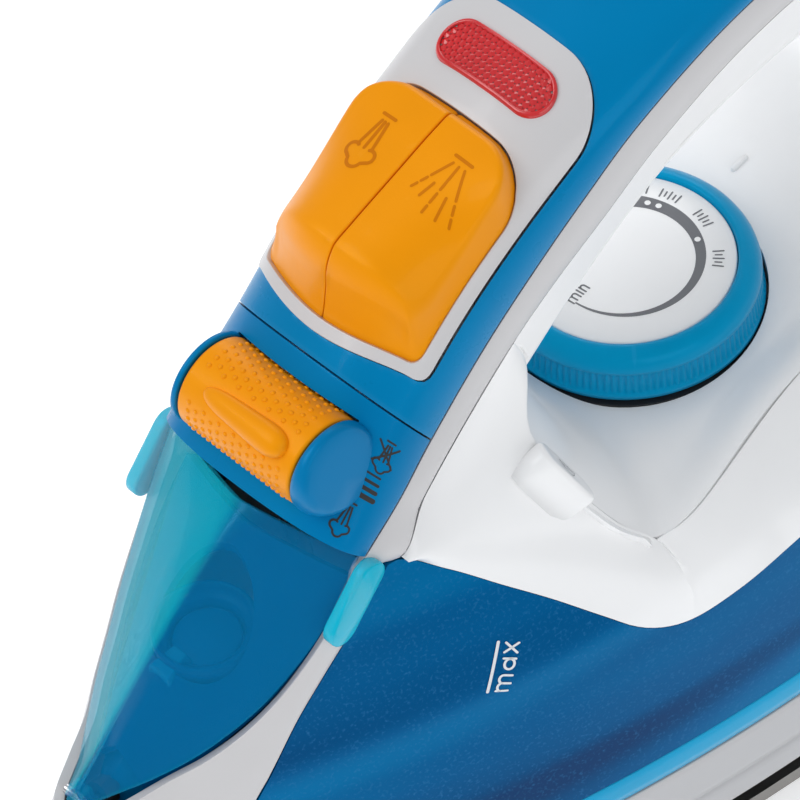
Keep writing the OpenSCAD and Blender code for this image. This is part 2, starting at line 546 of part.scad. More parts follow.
// Helical spring: one swept polyhedron
module coil(r, wire, h, turns) {
    steps = 12 * turns;
    sides = 6;
    pts = [for (i = [0:steps]) let (a = 30 * i, z = wire + (h - 2 * wire) * i / steps)
        for (k = [0:sides - 1]) let (b = 360 * k / sides, d = r + wire * cos(b))
            [d * cos(a), d * sin(a), z + wire * sin(b)]];
    faces = [for (i = [0:steps - 1]) for (k = [0:sides - 1]) let (n = (k + 1) % sides) each [
        [i * sides + k, (i + 1) * sides + k, (i + 1) * sides + n],
        [i * sides + k, (i + 1) * sides + n, i * sides + n]]];
    caps = [for (k = [1:sides - 2]) each [[0, k, k + 1],
        [steps * sides, steps * sides + k + 1, steps * sides + k]]];
    polyhedron(pts, concat(faces, caps));
}
module pump_spring(side) {
    color("#b9bbbe") translate([pump_x, side * pump_y, 126.2])
        coil(4.5, 0.45, flange_z - 126.4, 4);
}
module steam_spring() { pump_spring(1); }
module spray_spring() { pump_spring(-1); }
module handle_cover() {
    color("#0d78b4") difference() {
        thick_grid([for (i = [0:25]) [for (j = [-7:7])
            crown(mix(2.02, 12, i / 25), 0.99 * j / 7)]], 1.8);
        translate([0, 0, 100]) linear_extrude(70) bezel_plan(0.15);
        on_gland() translate([0, 0, -8]) cylinder(r = collar_r, h = 20);
    }
}

// ---------- thermostat ----------
module on_dial_axis() { translate(dial_top) rotate([0, dial_tilt, 0]) children(); }
module dial_hole(r, dz) {
    translate([0, 0, dz]) on_dial_axis() translate([0, 0, -80]) cylinder(r = r, h = 100);
}
module dial_bracket() {
    color("#4a4e54") on_dial_axis() translate([0, 0, -dial_h - 4]) difference() {
        cylinder(r = dial_r + 0.4, h = 3);
        translate([0, 0, -1]) cylinder(r = 3.05, h = 6);
    }
}
module thermostat_body() {
    color("#d8cdb6") on_dial_axis() translate([0, 0, -63.4]) cylinder(r = 9, h = 5.4);
}
module dial_shaft() {
    color("#b9bbbe") on_dial_axis() translate([0, 0, -58]) cylinder(r = 3, h = 55.6);
}
module dial_ring() {
    color("#0c72b8") on_dial_axis() rotate_extrude() polygon([[3, -dial_h], [dial_r, -dial_h],
        [dial_r, -5.2], [dial_r - 0.5, -1.6], [dial_r - 1.3, -0.5], [dial_r - 3.6, 0.2],
        [19.3, 0], [19.3, -2.4], [3, -2.4]]);
}
module dial_face() {
    color("#f2f2f2") on_dial_axis() translate([0, 0, -2.4]) cylinder(r = 19.1, h = 2.4);
}

// ---------- self-clean button, on the slope of the left pillar ----------
clean_pos = [-21.6, -30.6, 94.8];
// Turns that lay the button along the pillar's rear seam and face it towards the hand hole
clean_turn = [-25.3, 63.6, -47.7];
module on_pillar() {
    translate(clean_pos) rotate(clean_turn) children();
}
module pill(half, r, h) {
    translate([-half, -r, 0]) cube([2 * half, 2 * r, h]);
    for (e = [-half, half]) translate([e, 0, 0]) cylinder(r = r, h = h);
}
module self_clean_button() {
    color("#f4f4f4") on_pillar() {
        translate([0, 0, -3]) pill(5, 3, 5.2);
        translate([0, 0, -10]) cylinder(r = 1.45, h = 8);
    }
}
module self_clean_guide() {
    color("#5c6168") on_pillar() translate([0, 0, -11]) difference() {
        pill(3, 4, 2.6);
        translate([0, 0, -1]) cylinder(r = 1.5, h = 5);
    }
}
module self_clean_spring() {
    color("#b9bbbe") on_pillar() translate([0, 0, -8.3]) coil(2.2, 0.3, 5.2, 4);
}

// ---------- heel ----------
heel_angle = atan(heel_lean);
module on_heel(z) { translate([heel_x(z), 0, z]) rotate([0, 90 + heel_angle, 0]) children(); }
// Outline of the rear cover: [distance up the heel plane from z = 60, half width]
rear_half_k = [[-2, 21.4], [20, 22.8], [38, 22.4], [48, 21], [53, 16], [56, 8]];
rear_plan = concat([for (k = rear_half_k) [k[0], -k[1]]],
    [for (i = [len(rear_half_k) - 1:-1:0]) [rear_half_k[i][0], rear_half_k[i][1]]]);
module rear_cover() {
    color(grey) on_heel(60) translate([0, 0, -3.2]) rotate([0, 0, 180]) linear_extrude(2.4)
        polygon(rear_plan);
}
module heel_feet() {
    color("#4b4d50") for (z = [66, 104]) for (side = [-1, 1])
        on_heel(z) translate([0, side * 14, -0.8]) cylinder(r = 4, h = 1.3);
}
module cover_screws() {
    color("#a0a2a5") for (z = [78, 94]) for (side = [-1, 1])
        on_heel(z) translate([0, side * 16, -0.8]) cylinder(r = 2.6, h = 0.7);
}
module terminal_block() {
    color("#e2ddcf") translate([100, -13, 62]) cube([12, 26, 12]);
}
gland_s = 10.8;
gland_tilt = 36;
collar_r = 8.8;
gland_r = 7;
cord_r = 3.4;
module on_gland() {
    translate(crest(gland_s)) rotate([0, gland_tilt, 0]) translate([0, 0, -1]) children();
}
module gland_collar() {
    color("#3c3f44") on_gland() translate([0, 0, -4]) difference() {
        cylinder(r = collar_r - 0.05, h = 6.4);
        translate([0, 0, -1]) cylinder(r = gland_r + 0.05, h = 9);
    }
}
module cord_gland() {
    color("#2a2c30") on_gland() difference() {
        union() {
            translate([0, 0, -5]) cylinder(r = gland_r, h = 8);
            translate([0, 0, 3]) cylinder(r1 = gland_r, r2 = 5.4, h = 2.6);
        }
        translate([0, 0, -6]) cylinder(r = cord_r, h = 20);
    }
}

soleplate();
heater_casting();
heating_element();
chamber_gasket();
chamber_cover();
lower_skirt();
tank_band();
tank_floor();
water_tank();
tank_lid();
valve_seat();
valve_needle();
nose_trim();
body_shell_left();
body_shell_right();
deck_panel();
handle_underside();
filler_bed();
filler_neck();
spray_nozzle();
filler_cap();
cap_ears();
cap_knuckle();
cap_pin();
control_panel();
roller_cradle();
roller_axle();
steam_roller();
button_bezel();
indicator_lens();
indicator_lamp();
steam_button();
spray_button();
steam_plunger();
spray_plunger();
steam_pump();
spray_pump();
steam_spring();
spray_spring();
handle_cover();
dial_bracket();
thermostat_body();
dial_shaft();
dial_ring();
dial_face();
self_clean_button();
self_clean_guide();
self_clean_spring();
rear_cover();
heel_feet();
cover_screws();
terminal_block();
gland_collar();
cord_gland();
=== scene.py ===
# Steam iron: the visible model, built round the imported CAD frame.
# Scenes are in metres; shapes are worked out in millimetres and scaled by MM.
import math

import bmesh
import bpy
import numpy as np
from mathutils import Matrix, Vector


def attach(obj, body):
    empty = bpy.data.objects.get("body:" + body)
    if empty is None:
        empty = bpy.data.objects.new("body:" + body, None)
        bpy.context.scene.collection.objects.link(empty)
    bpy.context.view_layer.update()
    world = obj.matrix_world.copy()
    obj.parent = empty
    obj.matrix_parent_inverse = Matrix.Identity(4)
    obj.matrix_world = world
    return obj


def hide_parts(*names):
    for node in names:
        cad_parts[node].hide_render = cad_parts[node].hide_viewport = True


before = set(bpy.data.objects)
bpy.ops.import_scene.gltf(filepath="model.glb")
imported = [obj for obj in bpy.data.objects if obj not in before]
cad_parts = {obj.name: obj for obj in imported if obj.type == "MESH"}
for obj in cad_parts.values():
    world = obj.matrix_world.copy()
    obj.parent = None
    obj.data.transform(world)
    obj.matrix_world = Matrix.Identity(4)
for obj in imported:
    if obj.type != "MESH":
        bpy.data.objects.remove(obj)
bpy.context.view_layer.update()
MM = 0.001


# ---------- camera, light and floor
def make_camera():
    data = bpy.data.cameras.new("camera")
    data.lens = 315
    data.sensor_width = 36
    data.clip_start = 0.05
    camera = bpy.data.objects.new("camera", data)
    camera.location = (-0.42624, -0.56317, 1.02378)
    camera.rotation_euler = [math.radians(a) for a in (35.9691, 7.3183, -45.1583)]
    bpy.context.scene.collection.objects.link(camera)
    bpy.context.scene.camera = camera


def area_light(name, place, target, size, power, colour=(1, 1, 1)):
    data = bpy.data.lights.new(name, "AREA")
    data.shape = "RECTANGLE"
    data.size, data.size_y = size
    data.energy = power
    data.color = colour
    light = bpy.data.objects.new(name, data)
    light.location = place
    light.rotation_euler = (Vector(target) - Vector(place)).to_track_quat("-Z", "Y").to_euler()
    bpy.context.scene.collection.objects.link(light)


def make_stage():
    world = bpy.data.worlds.new("studio")
    world.use_nodes = True
    world.node_tree.nodes["Background"].inputs["Color"].default_value = (0.93, 0.96, 1.0, 1)
    world.node_tree.nodes["Background"].inputs["Strength"].default_value = 0.5
    bpy.context.scene.world = world
    area_light("key", (-0.55, 0.35, 1.0), (0, 0, 0.1), (0.7, 0.7), 5.0)
    area_light("fill", (-0.2, -1.1, 0.7), (0, 0, 0.08), (0.9, 0.6), 2.6)
    area_light("rim", (0.9, 0.5, 0.8), (0, 0, 0.1), (0.6, 0.9), 3.2)
    bpy.ops.mesh.primitive_plane_add(size=8, location=(0, 0, 0))
    floor = bpy.context.object
    floor.name = "floor"
    mat = bpy.data.materials.new("floor")
    mat.use_nodes = True
    bsdf = mat.node_tree.nodes["Principled BSDF"]
    bsdf.inputs["Base Color"].default_value = (0.95, 0.95, 0.95, 1)
    bsdf.inputs["Roughness"].default_value = 0.9
    bsdf.inputs["Emission Color"].default_value = (1, 1, 1, 1)
    bsdf.inputs["Emission Strength"].default_value = 0.35
    floor.data.materials.append(mat)


make_camera()
make_stage()
bpy.context.scene.view_settings.view_transform = "Standard"


# ---------- curves and the body's form, in millimetres
def curve(knots, s):
    """Smooth curve through knots [(s, value)]; a value is a number or a point."""
    i = 0
    while i < len(knots) - 2 and s >= knots[i + 1][0]:
        i += 1
    if isinstance(knots[0][1], (int, float)):
        return curve_part(knots, i, s, lambda k: knots[k][1])
    return np.array([curve_part(knots, i, s, lambda k, axis=axis: knots[k][1][axis]) for axis in range(3)])


def curve_part(knots, i, s, value):
    def rate(k):
        return (value(k + 1) - value(k)) / (knots[k + 1][0] - knots[k][0])

    def knot_rate(k):
        if k == 0:
            return rate(0)
        return rate(k - 1) if k == len(knots) - 1 else (rate(k - 1) + rate(k)) / 2

    h = knots[i + 1][0] - knots[i][0]
    t = min(1.0, max(0.0, (s - knots[i][0]) / h))
    return ((2 * t**3 - 3 * t**2 + 1) * value(i) + (t**3 - 2 * t**2 + t) * h * knot_rate(i)
            + (3 * t**2 - 2 * t**3) * value(i + 1) + (t**3 - t**2) * h * knot_rate(i + 1))


def knots(first, *values):
    """Curve knots at the whole numbers from first on."""
    return list(enumerate(values, first))


def mix(a, b, t):
    return a + (b - a) * t


def smooth(t):
    t = min(1.0, max(0.0, t))
    return t * t * (3 - 2 * t)


TIP_X, HEEL_X0, HEEL_LEAN, HALF_WIDTH, TIP_ROUND = -135, 103, 0.27, 59, 3.5
FRONT = [(0, 0), (6, 0.4), (28, 5), (50, 12), (68, 19.5), (120, 22)]


def front_x(z):
    return TIP_X + float(curve(FRONT, z))


def heel_x(z):
    return HEEL_X0 + HEEL_LEAN * z


def half_w(x, z):
    low = min(1, z / 66)
    s = max(0.0, x - front_x(z))
    m = math.sqrt(s * s + 2 * TIP_ROUND * s)
    nose = 1 - max(0.0, 1 - m / mix(190, 175, low)) ** 1.9
    q = max(0.0, min(1.0, (x - 45) / (heel_x(z) - 45)))
    shoulder = 1 if z < 66 else 1 - 0.31 * ((z - 66) / 32) ** 1.2
    return (HALF_WIDTH - 2 * low) * shoulder * nose * (1 - 0.2 * q * q) * math.sqrt(max(0.0, 1 - q**7))


def around(u, z):
    """A point on the horizontal section at z; u runs 0 to 2: tip, left side, heel, right side."""
    x = mix(front_x(z), heel_x(z), (1 - math.cos(math.pi * u)) / 2)
    side = math.sin(math.pi * u)
    side = 0 if abs(side) < 1e-9 else math.copysign(1, side)
    return np.array([x, -half_w(x, z) * side, z])


TANK_TOP = [(-127.8, 34), (-120, 36), (-108.5, 42), (-97, 50.6), (-89.5, 60), (-83.5, 68), (-77, 76.3),
            (-70.5, 83), (-64.5, 88.4), (-58.7, 93.2), (-53.2, 97.6), (-46, 91.4), (-39.4, 84),
            (-33.4, 77.4), (-27.6, 70.4), (-21.6, 63.4), (-15.5, 60), (-5, 60.2), (10, 64), (26, 66.8),
            (48, 68), (80, 67), (105, 62.5), (120, 57)]


def tank_top(x):
    return float(curve(TANK_TOP, x))


CREST = knots(0, (-64.5, 0, 110.4), (-54.5, 0, 119), (-45.5, 0, 127.3), (-31, 0, 138.5), (-19, 0, 145),
              (-5, 0, 150), (10.8, 0, 154.3), (34, 0, 157.6), (59, 0, 157), (84, 0, 151), (106, 0, 140),
              (123.5, 0, 127.5), (134.6, 0, 117))
EDGE = knots(-10, (-114, 0, 68.6), (-110.6, -4.4, 69), (-104.2, -7.4, 70.3), (-97.7, -10, 71.8),
             (-91.8, -13.3, 74), (-85.8, -16, 77), (-80, -18.3, 81.2), (-74, -20, 86.2), (-68, -21.3, 92),
             (-62.6, -22, 98), (-58, -22.3, 103.5), (-48.5, -21.8, 108.8), (-39.4, -21.1, 115),
             (-26, -21, 124.6), (-13.5, -21, 132), (0, -21, 138.8), (14.5, -21, 144.9), (35.5, -21, 149.4),
             (58, -21, 149.2), (81, -21, 143.2), (101, -21.6, 132), (117.3, -22.8, 119.8),
             (131, -23.6, 107.5))
LOWER = knots(-10, (-127.8, 0, 34), (-120, 0, 36), (-108.5, 0, 42), (-97, 0, 50.6), (-89.5, 0, 60),
              (-83.5, 0, 68), (-77, 0, 76.3), (-70.5, 0, 83), (-64.5, 0, 88.4), (-58.7, 0, 93.2),
              (-53.2, -22.6, 97.6), (-44, -21.5, 103.5), (-35, -21.3, 110.4), (-22.5, -21.2, 119),
              (-10.5, -21.3, 125.6), (3, -21.5, 131.5), (17.5, -21.5, 137.4), (37, -21.5, 141.9),
              (57.5, -21.5, 141.8), (78.8, -21.5, 135.8), (97, -22.2, 125), (112.3, -23.8, 112.6),
              (128.2, -24.8, 98))


def crest(s):
    return curve(CREST, s)


def edge(s):
    return curve(EDGE, s)


def lower(s):
    p = curve(LOWER, s)
    if s < 0:
        w = max(0.0, s + 1) ** 2
        p[1] = mix(-half_w(p[0], p[2]), p[1], w)
    return p


def crown(s, a, lift=0.0):
    """Top of the panel and handle; a runs -1 (left edge) to 1 (right edge)."""
    c, e = crest(s), edge(s)
    k = math.cos(math.pi / 2 * min(1, abs(a))) ** 0.86 if abs(a) < 1 else 0.0
    h = math.sin(math.pi / 2 * min(1, abs(a))) ** 0.86
    up = c - np.array([e[0], 0, e[2]])
    skin = np.array([mix(e[0], c[0], k), -e[1] * h * np.sign(a), mix(e[2], c[2], k)])
    return skin + lift * up / np.linalg.norm(up)


def crown_at(x, y, lift=0.0):
    """The crown's point above plan position x, y."""
    lo, hi = -0.5, 8.0
    for _ in range(16):
        s = (lo + hi) / 2
        ey = -edge(s)[1]
        a = math.asin(min(1, abs(y) / ey) ** (1 / 0.86)) * 2 / math.pi
        if crown(s, math.copysign(a, y))[0] < x:
            lo = s
        else:
            hi = s
    return crown(s, math.copysign(a, y), lift)


# ---------- mesh helpers
def new_object(name, mesh):
    obj = bpy.data.objects.new(name, mesh)
    bpy.context.scene.collection.objects.link(obj)
    return obj


def mesh_from(name, points, faces):
    mesh = bpy.data.meshes.new(name)
    mesh.from_pydata([tuple(float(c) * MM for c in p) for p in points], [], faces)
    mesh.validate()
    mesh.polygons.foreach_set("use_smooth", [True] * len(mesh.polygons))
    return mesh


def grid_faces(n, m, wrap_i=False, wrap_j=False, skip=None):
    faces = []
    for i in range(n if wrap_i else n - 1):
        for j in range(m if wrap_j else m - 1):
            if skip and skip(i, j):
                continue
            a, b = i, (i + 1) % n
            c, d = j, (j + 1) % m
            faces.append([a * m + c, b * m + c, b * m + d, a * m + d])
    return faces


def grid_object(name, grid, wrap_i=False, wrap_j=False, skip=None, flip=False):
    n, m = len(grid), len(grid[0])
    faces = grid_faces(n, m, wrap_i, wrap_j, skip)
    if flip:
        faces = [f[::-1] for f in faces]
    return new_object(name, mesh_from(name, [p for row in grid for p in row], faces))


def join_parts(name, parts):
    """One mesh from several (points, faces) lists."""
    points, faces = [], []
    for pts, cells in parts:
        start = len(points)
        points += list(pts)
        faces += [[start + k for k in f] for f in cells]
    return new_object(name, mesh_from(name, points, faces))


def merge_close(obj):
    bm = bmesh.new()
    bm.from_mesh(obj.data)
    bmesh.ops.remove_doubles(bm, verts=bm.verts, dist=0.00002)
    loose = [v for v in bm.verts if not v.link_faces]
    bmesh.ops.delete(bm, geom=loose, context="VERTS")
    bm.to_mesh(obj.data)
    bm.free()


def face_towards(obj, direction):
    """Turns a skin's faces so that, taken together, they look along direction."""
    if sum(face.area * face.normal.dot(Vector(direction)) for face in obj.data.polygons) < 0:
        obj.data.flip_normals()


def thicken(obj, t, bevel=0.35, segments=3, angle=40, out=None):
    """Turns an outer skin into a moulding of wall t (mm) with rounded rims."""
    merge_close(obj)
    if out:
        face_towards(obj, out)
    if t:
        mod = obj.modifiers.new("wall", "SOLIDIFY")
        mod.thickness = t * MM
        mod.offset = -1
        mod.use_even_offset = False
    if bevel:
        soften(obj, bevel, segments, angle)
    return obj


def soften(obj, width, segments=3, angle=40):
    mod = obj.modifiers.new("round", "BEVEL")
    mod.width = width * MM
    mod.segments = segments
    mod.limit_method = "ANGLE"
    mod.angle_limit = math.radians(angle)
    mod.use_clamp_overlap = True
    normal = obj.modifiers.new("shade", "WEIGHTED_NORMAL")
    normal.keep_sharp = True
    return obj


def cut(obj, *cutters):
    """Takes the cutters' shapes out of obj, before its rims are rounded."""
    for cutter in cutters:
        mod = obj.modifiers.new("cut", "BOOLEAN")
        mod.object = cutter
        mod.operation = "DIFFERENCE"
        mod.solver = "EXACT"
    apply_modifiers(obj)
    for cutter in cutters:
        bpy.data.objects.remove(cutter)


def apply_modifiers(obj):
    deps = bpy.context.evaluated_depsgraph_get()
    mesh = bpy.data.meshes.new_from_object(obj.evaluated_get(deps))
    obj.modifiers.clear()
    old = obj.data
    obj.data = mesh
    bpy.data.meshes.remove(old)
    obj.data.polygons.foreach_set("use_smooth", [True] * len(obj.data.polygons))


def axis_frame(place, rotation=(0, 0, 0)):
    """Matrix in metres for a place in millimetres and Euler degrees."""
    turn = Matrix.Identity(4)
    for axis, angle in zip("XYZ", rotation):
        turn = Matrix.Rotation(math.radians(angle), 4, axis) @ turn
    return Matrix.Translation(Vector([c * MM for c in place])) @ turn


def revolve(name, profile, steps, matrix):
    """Turns a profile [(radius, height)] about local Z."""
    turns = [2 * math.pi * i / steps for i in range(steps)]
    grid = [[(r * math.cos(a), r * math.sin(a), h) for r, h in profile] for a in turns]
    obj = grid_object(name, grid, wrap_i=True, wrap_j=True)
    obj.data.transform(matrix)
    merge_close(obj)
    return obj


def prism(name, outline, z0, z1):
    """A closed prism over a plan outline, used as a cutter."""
    n = len(outline)
    pts = [(x, y, z0) for x, y in outline] + [(x, y, z1) for x, y in outline]
    faces = [[i, (i + 1) % n, n + (i + 1) % n, n + i] for i in range(n)]
    faces += [list(range(n))[::-1], [n + i for i in range(n)]]
    return new_object(name, mesh_from(name, pts, faces))


# ---------- materials
MATERIALS = {}


def add_node(tree, kind, inputs=None, **settings):
    """A shader node with its settings; an input is set, or linked where the value is a socket."""
    node = tree.nodes.new("ShaderNode" + kind)
    for key, value in settings.items():
        setattr(node, key, value)
    for key, value in (inputs or {}).items():
        if isinstance(value, bpy.types.NodeSocket):
            tree.links.new(value, node.inputs[key])
        else:
            node.inputs[key].default_value = value
    return node


def material(name, colour, rough=0.35, metal=0.0, coat=0.0, spec=0.5, tone=0.04, tone_size=60.0, grain=0.0,
             grain_size=2500.0, smudge=0.06, alpha=1.0, gleam=(1, 1, 1, 1), wear=0.0):
    """Moulded plastic or metal: slow colour drift, smudged gloss, fine surface grain and paler worn edges."""
    mat = bpy.data.materials.new(name)
    mat.use_nodes = True
    tree = mat.node_tree
    bsdf = tree.nodes["Principled BSDF"]
    constants = {"Metallic": metal, "Specular IOR Level": spec, "Coat Weight": coat, "Coat Roughness": 0.05,
                 "Specular Tint": gleam, "Alpha": alpha}
    for socket, value in constants.items():
        bsdf.inputs[socket].default_value = value
    coords = add_node(tree, "TexCoord").outputs["Object"]
    drift = add_node(tree, "TexNoise", {"Scale": tone_size, "Detail": 4, "Vector": coords})
    ramp = add_node(tree, "MapRange", {"From Min": 0.3, "From Max": 0.7, "To Min": 1 - tone,
                                       "To Max": 1 + tone,
                                       "Value": drift.outputs["Fac"]})
    tint = add_node(tree, "VectorMath", {0: colour, "Scale": ramp.outputs["Result"]}, operation="SCALE")
    colour_out = tint.outputs["Vector"]
    if wear:
        point = add_node(tree, "NewGeometry").outputs["Pointiness"]
        edges = add_node(tree, "MapRange", {"From Min": 0.52, "From Max": 0.62, "To Max": wear,
                                            "Value": point})
        paler = tuple(min(1, c * 1.25 + 0.06) for c in colour) + (1,)
        worn = add_node(tree, "Mix", data_type="RGBA")
        worn.inputs[7].default_value = paler
        tree.links.new(edges.outputs["Result"], worn.inputs["Factor"])
        tree.links.new(colour_out, worn.inputs[6])
        colour_out = worn.outputs[2]
    tree.links.new(colour_out, bsdf.inputs["Base Color"])
    gloss = add_node(tree, "TexNoise", {"Scale": 28, "Detail": 6, "Roughness": 0.6, "Vector": coords})
    smudges = add_node(tree, "MapRange", {"From Min": 0.35, "From Max": 0.7,
                                          "To Min": max(0.01, rough - smudge / 2),
                                          "To Max": rough + smudge, "Value": gloss.outputs["Fac"]})
    tree.links.new(smudges.outputs["Result"], bsdf.inputs["Roughness"])
    if grain:
        fine = add_node(tree, "TexNoise", {"Scale": grain_size, "Detail": 2, "Vector": coords})
        bump = add_node(tree, "Bump", {"Strength": grain, "Distance": 0.0001, "Height": fine.outputs["Fac"]})
        tree.links.new(bump.outputs["Normal"], bsdf.inputs["Normal"])
    MATERIALS[name] = mat
    return mat


def make_materials():
    blue = (0.02, 0.5, 1.0, 1)
    amber = (1.0, 0.55, 0.1, 1)
    material("handle_blue", (0.0, 0.205, 0.455), rough=0.26, coat=0.06, tone=0.03, wear=0.1, grain=0.05,
             gleam=blue)
    material("panel_blue", (0.0, 0.185, 0.43), rough=0.28, coat=0.05, tone=0.03, wear=0.12, grain=0.05,
             gleam=blue)
    material("bed_blue", (0.0, 0.11, 0.31), rough=0.3, coat=0.05, tone=0.04, grain=0.05, gleam=blue)
    material("dial_blue", (0.0, 0.3, 0.56), rough=0.3, coat=0.05, tone=0.03, wear=0.15, grain=0.15,
             gleam=blue)
    material("white_plastic", (0.95, 0.95, 0.95), rough=0.3, coat=0.2, tone=0.012, wear=0.1, grain=0.04)
    material("grey_plastic", (0.62, 0.61, 0.615), rough=0.32, coat=0.15, tone=0.015, wear=0.2, grain=0.05)
    material("skirt_grey", (0.54, 0.54, 0.55), rough=0.34, coat=0.1, tone=0.015, wear=0.2, grain=0.06)
    material("orange", (0.9, 0.31, 0.002), rough=0.36, coat=0.04, tone=0.03, wear=0.1, grain=0.12,
             gleam=amber)
    # icons on the keys are engraved: their darker orange is painted shade standing in for the shadow in the
    # grooves
    material("groove_shade_orange", (0.62, 0.17, 0.002), rough=0.4, tone=0.05, gleam=amber)
    material("cyan_band", (0.0, 0.36, 0.64), rough=0.16, coat=0.3, tone=0.03, wear=0.2, gleam=blue)
    material("cap_clear", (0.0, 0.5, 0.76), rough=0.03, alpha=0.36, coat=0.25, tone=0.03, smudge=0.04,
             gleam=blue)
    material("ear_clear", (0.0, 0.58, 0.78), rough=0.08, alpha=0.72, tone=0.03, smudge=0.04, gleam=blue)
    make_cap_painted_light()
    material("red_lens", (0.62, 0.006, 0.01), rough=0.08, coat=0.8, tone=0.1, smudge=0.05)
    # dark red for the plate under the lens prisms: painted shade for the lens's unlit depths
    material("lens_depth_shade", (0.16, 0.003, 0.004), rough=0.3, tone=0.1)
    material("sole_metal", (0.34, 0.33, 0.315), rough=0.34, metal=1.0, tone=0.08, tone_size=25, grain=0.3)
    material("cast_metal", (0.5, 0.5, 0.5), rough=0.5, metal=1.0, tone=0.1, grain=0.5, grain_size=900)
    material("steel", (0.55, 0.55, 0.56), rough=0.25, metal=1.0, tone=0.05, grain=0.2)
    material("brass", (0.6, 0.42, 0.16), rough=0.3, metal=1.0, tone=0.08, grain=0.2)
    material("dark_plastic", (0.018, 0.019, 0.022), rough=0.45, tone=0.08, grain=0.35)
    material("rubber", (0.022, 0.022, 0.024), rough=0.7, tone=0.1, grain=0.6, grain_size=1500)
    material("seal", (0.4, 0.06, 0.03), rough=0.6, tone=0.08, grain=0.4)
    material("natural", (0.6, 0.6, 0.58), rough=0.45, tone=0.04, grain=0.2)
    material("ceramic", (0.62, 0.56, 0.46), rough=0.6, tone=0.06, grain=0.5, grain_size=1200)
    material("mark_black", (0.01, 0.011, 0.013), rough=0.5, tone=0.1)
    material("mark_grey", (0.17, 0.175, 0.19), rough=0.5, tone=0.06)
    material("mark_white", (0.8, 0.82, 0.85), rough=0.5, tone=0.04)
    make_tank_material()


def make_cap_painted_light():
    """The clear cap's two faces, with painted light and shade: bright cyan on the far side of its ridge,
    deeper blue on the near side, picked by which way each face looks.
    """
    tree = MATERIALS["cap_clear"].node_tree
    normal = add_node(tree, "NewGeometry").outputs["Normal"]
    split = add_node(tree, "SeparateXYZ", {"Vector": normal})
    across = add_node(tree, "MapRange", {"From Min": -0.25, "From Max": 0.25, "Value": split.outputs["Y"]})
    # painted light and shade: faces turned one way get the lighter cyan, faces turned the other the deeper
    # blue
    faces = add_node(tree, "Mix", data_type="RGBA")
    faces.inputs[6].default_value = (0.0, 0.22, 0.5, 1)
    faces.inputs[7].default_value = (0.0, 0.66, 0.84, 1)
    tree.links.new(across.outputs["Result"], faces.inputs["Factor"])
    tree.links.new(faces.outputs[2], tree.nodes["Principled BSDF"].inputs["Base Color"])


def make_tank_material():
    """Deep blue tank: soft lighter and darker streaks that flow along the wall, painted highlights and shade
    standing in for light on its wavy folds, and a fine sparkle.
    """
    mat = material("tank_blue", (0.0, 0.1, 0.3), rough=0.2, spec=0.12, tone=0.02, gleam=(0.02, 0.5, 1, 1))
    tree = mat.node_tree
    coords = add_node(tree, "TexCoord").outputs["Object"]
    mapping = add_node(tree, "Mapping", {"Rotation": (0, math.radians(10), 0), "Scale": (4.5, 3.0, 36),
                                         "Vector": coords})
    flow = add_node(tree, "TexNoise", {"Scale": 1.0, "Detail": 1.5, "Distortion": 0.6,
                                       "Vector": mapping.outputs["Vector"]})
    # painted highlights and shade: the ramp's dark and light stops draw the light on the wall's folds
    painted_light_stops = [(0.30, (0.004, 0.04, 0.14, 1)), (0.42, (0.0, 0.065, 0.2, 1)), (0.52, (0.0, 0.1, 0.28, 1)),
             (0.60, (0.0, 0.17, 0.4, 1)), (0.70, (0.0, 0.25, 0.5, 1))]
    painted_light_bands = add_node(tree, "ValToRGB", {"Fac": flow.outputs["Fac"]})
    ramp = painted_light_bands.color_ramp
    while len(ramp.elements) < len(painted_light_stops):
        ramp.elements.new(0.5)
    for element, (place, colour) in zip(ramp.elements, painted_light_stops):
        element.position = place
        element.color = colour
    sparkle = add_node(tree, "TexNoise", {"Scale": 1600, "Detail": 1, "Vector": coords})
    glint = add_node(tree, "MapRange", {"From Min": 0.55, "From Max": 0.8, "To Max": 0.35,
                                        "Value": sparkle.outputs["Fac"]})
    mixed = add_node(tree, "Mix", data_type="RGBA")
    mixed.inputs[7].default_value = (0.03, 0.2, 0.45, 1)
    tree.links.new(glint.outputs["Result"], mixed.inputs["Factor"])
    tree.links.new(painted_light_bands.outputs["Color"], mixed.inputs[6])
    tree.links.new(mixed.outputs[2], tree.nodes["Principled BSDF"].inputs["Base Color"])


def dress(obj, mat, body="housing", nodes=()):
    """Material, body and replaced CAD nodes of a piece, in one place."""
    obj.data.materials.clear()
    obj.data.materials.append(MATERIALS[mat])
    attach(obj, body)
    if nodes:
        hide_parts(*nodes)
    return obj


make_materials()


# ---------- lower body: skirt, band and tank
def ring(name, profile, n=260):
    """A wall round the whole body from a profile [(height, outward offset)]."""
    grid = []
    for i in range(n):
        u = 2 * i / n
        row = []
        for z, out in profile:
            p = around(u, z)
            t = around(u + 0.002, z) - around(u - 0.002, z)
            normal = np.array([-t[1], t[0], 0]) / max(1e-9, np.linalg.norm(t))
            row.append(p - out * normal)
        grid.append(row)
    return grid_object(name, grid, wrap_i=True)


def make_skirt():
    line = [(13.6, 0), (13.4, -0.25), (13.0, -0.25), (12.8, 0)][::-1]
    profile = [(7.0, -0.5), (7.3, -0.1), (7.8, 0), (9.5, 0), (11, 0)] + line
    profile += [(15, 0.05), (19, 0.1), (22, 0.05), (23.4, 0), (23.8, -0.25)]
    obj = thicken(ring("lower_skirt_moulding", profile), 2, 0)
    dress(obj, "skirt_grey", nodes=["lower_skirt"])


def make_band():
    profile = [(24.1, -0.3), (24.4, 0), (26, 0.1), (28, 0.1), (29.6, 0), (29.9, -0.3)]
    obj = thicken(ring("tank_band_moulding", profile), 2, 0)
    dress(obj, "cyan_band", nodes=["tank_band"])


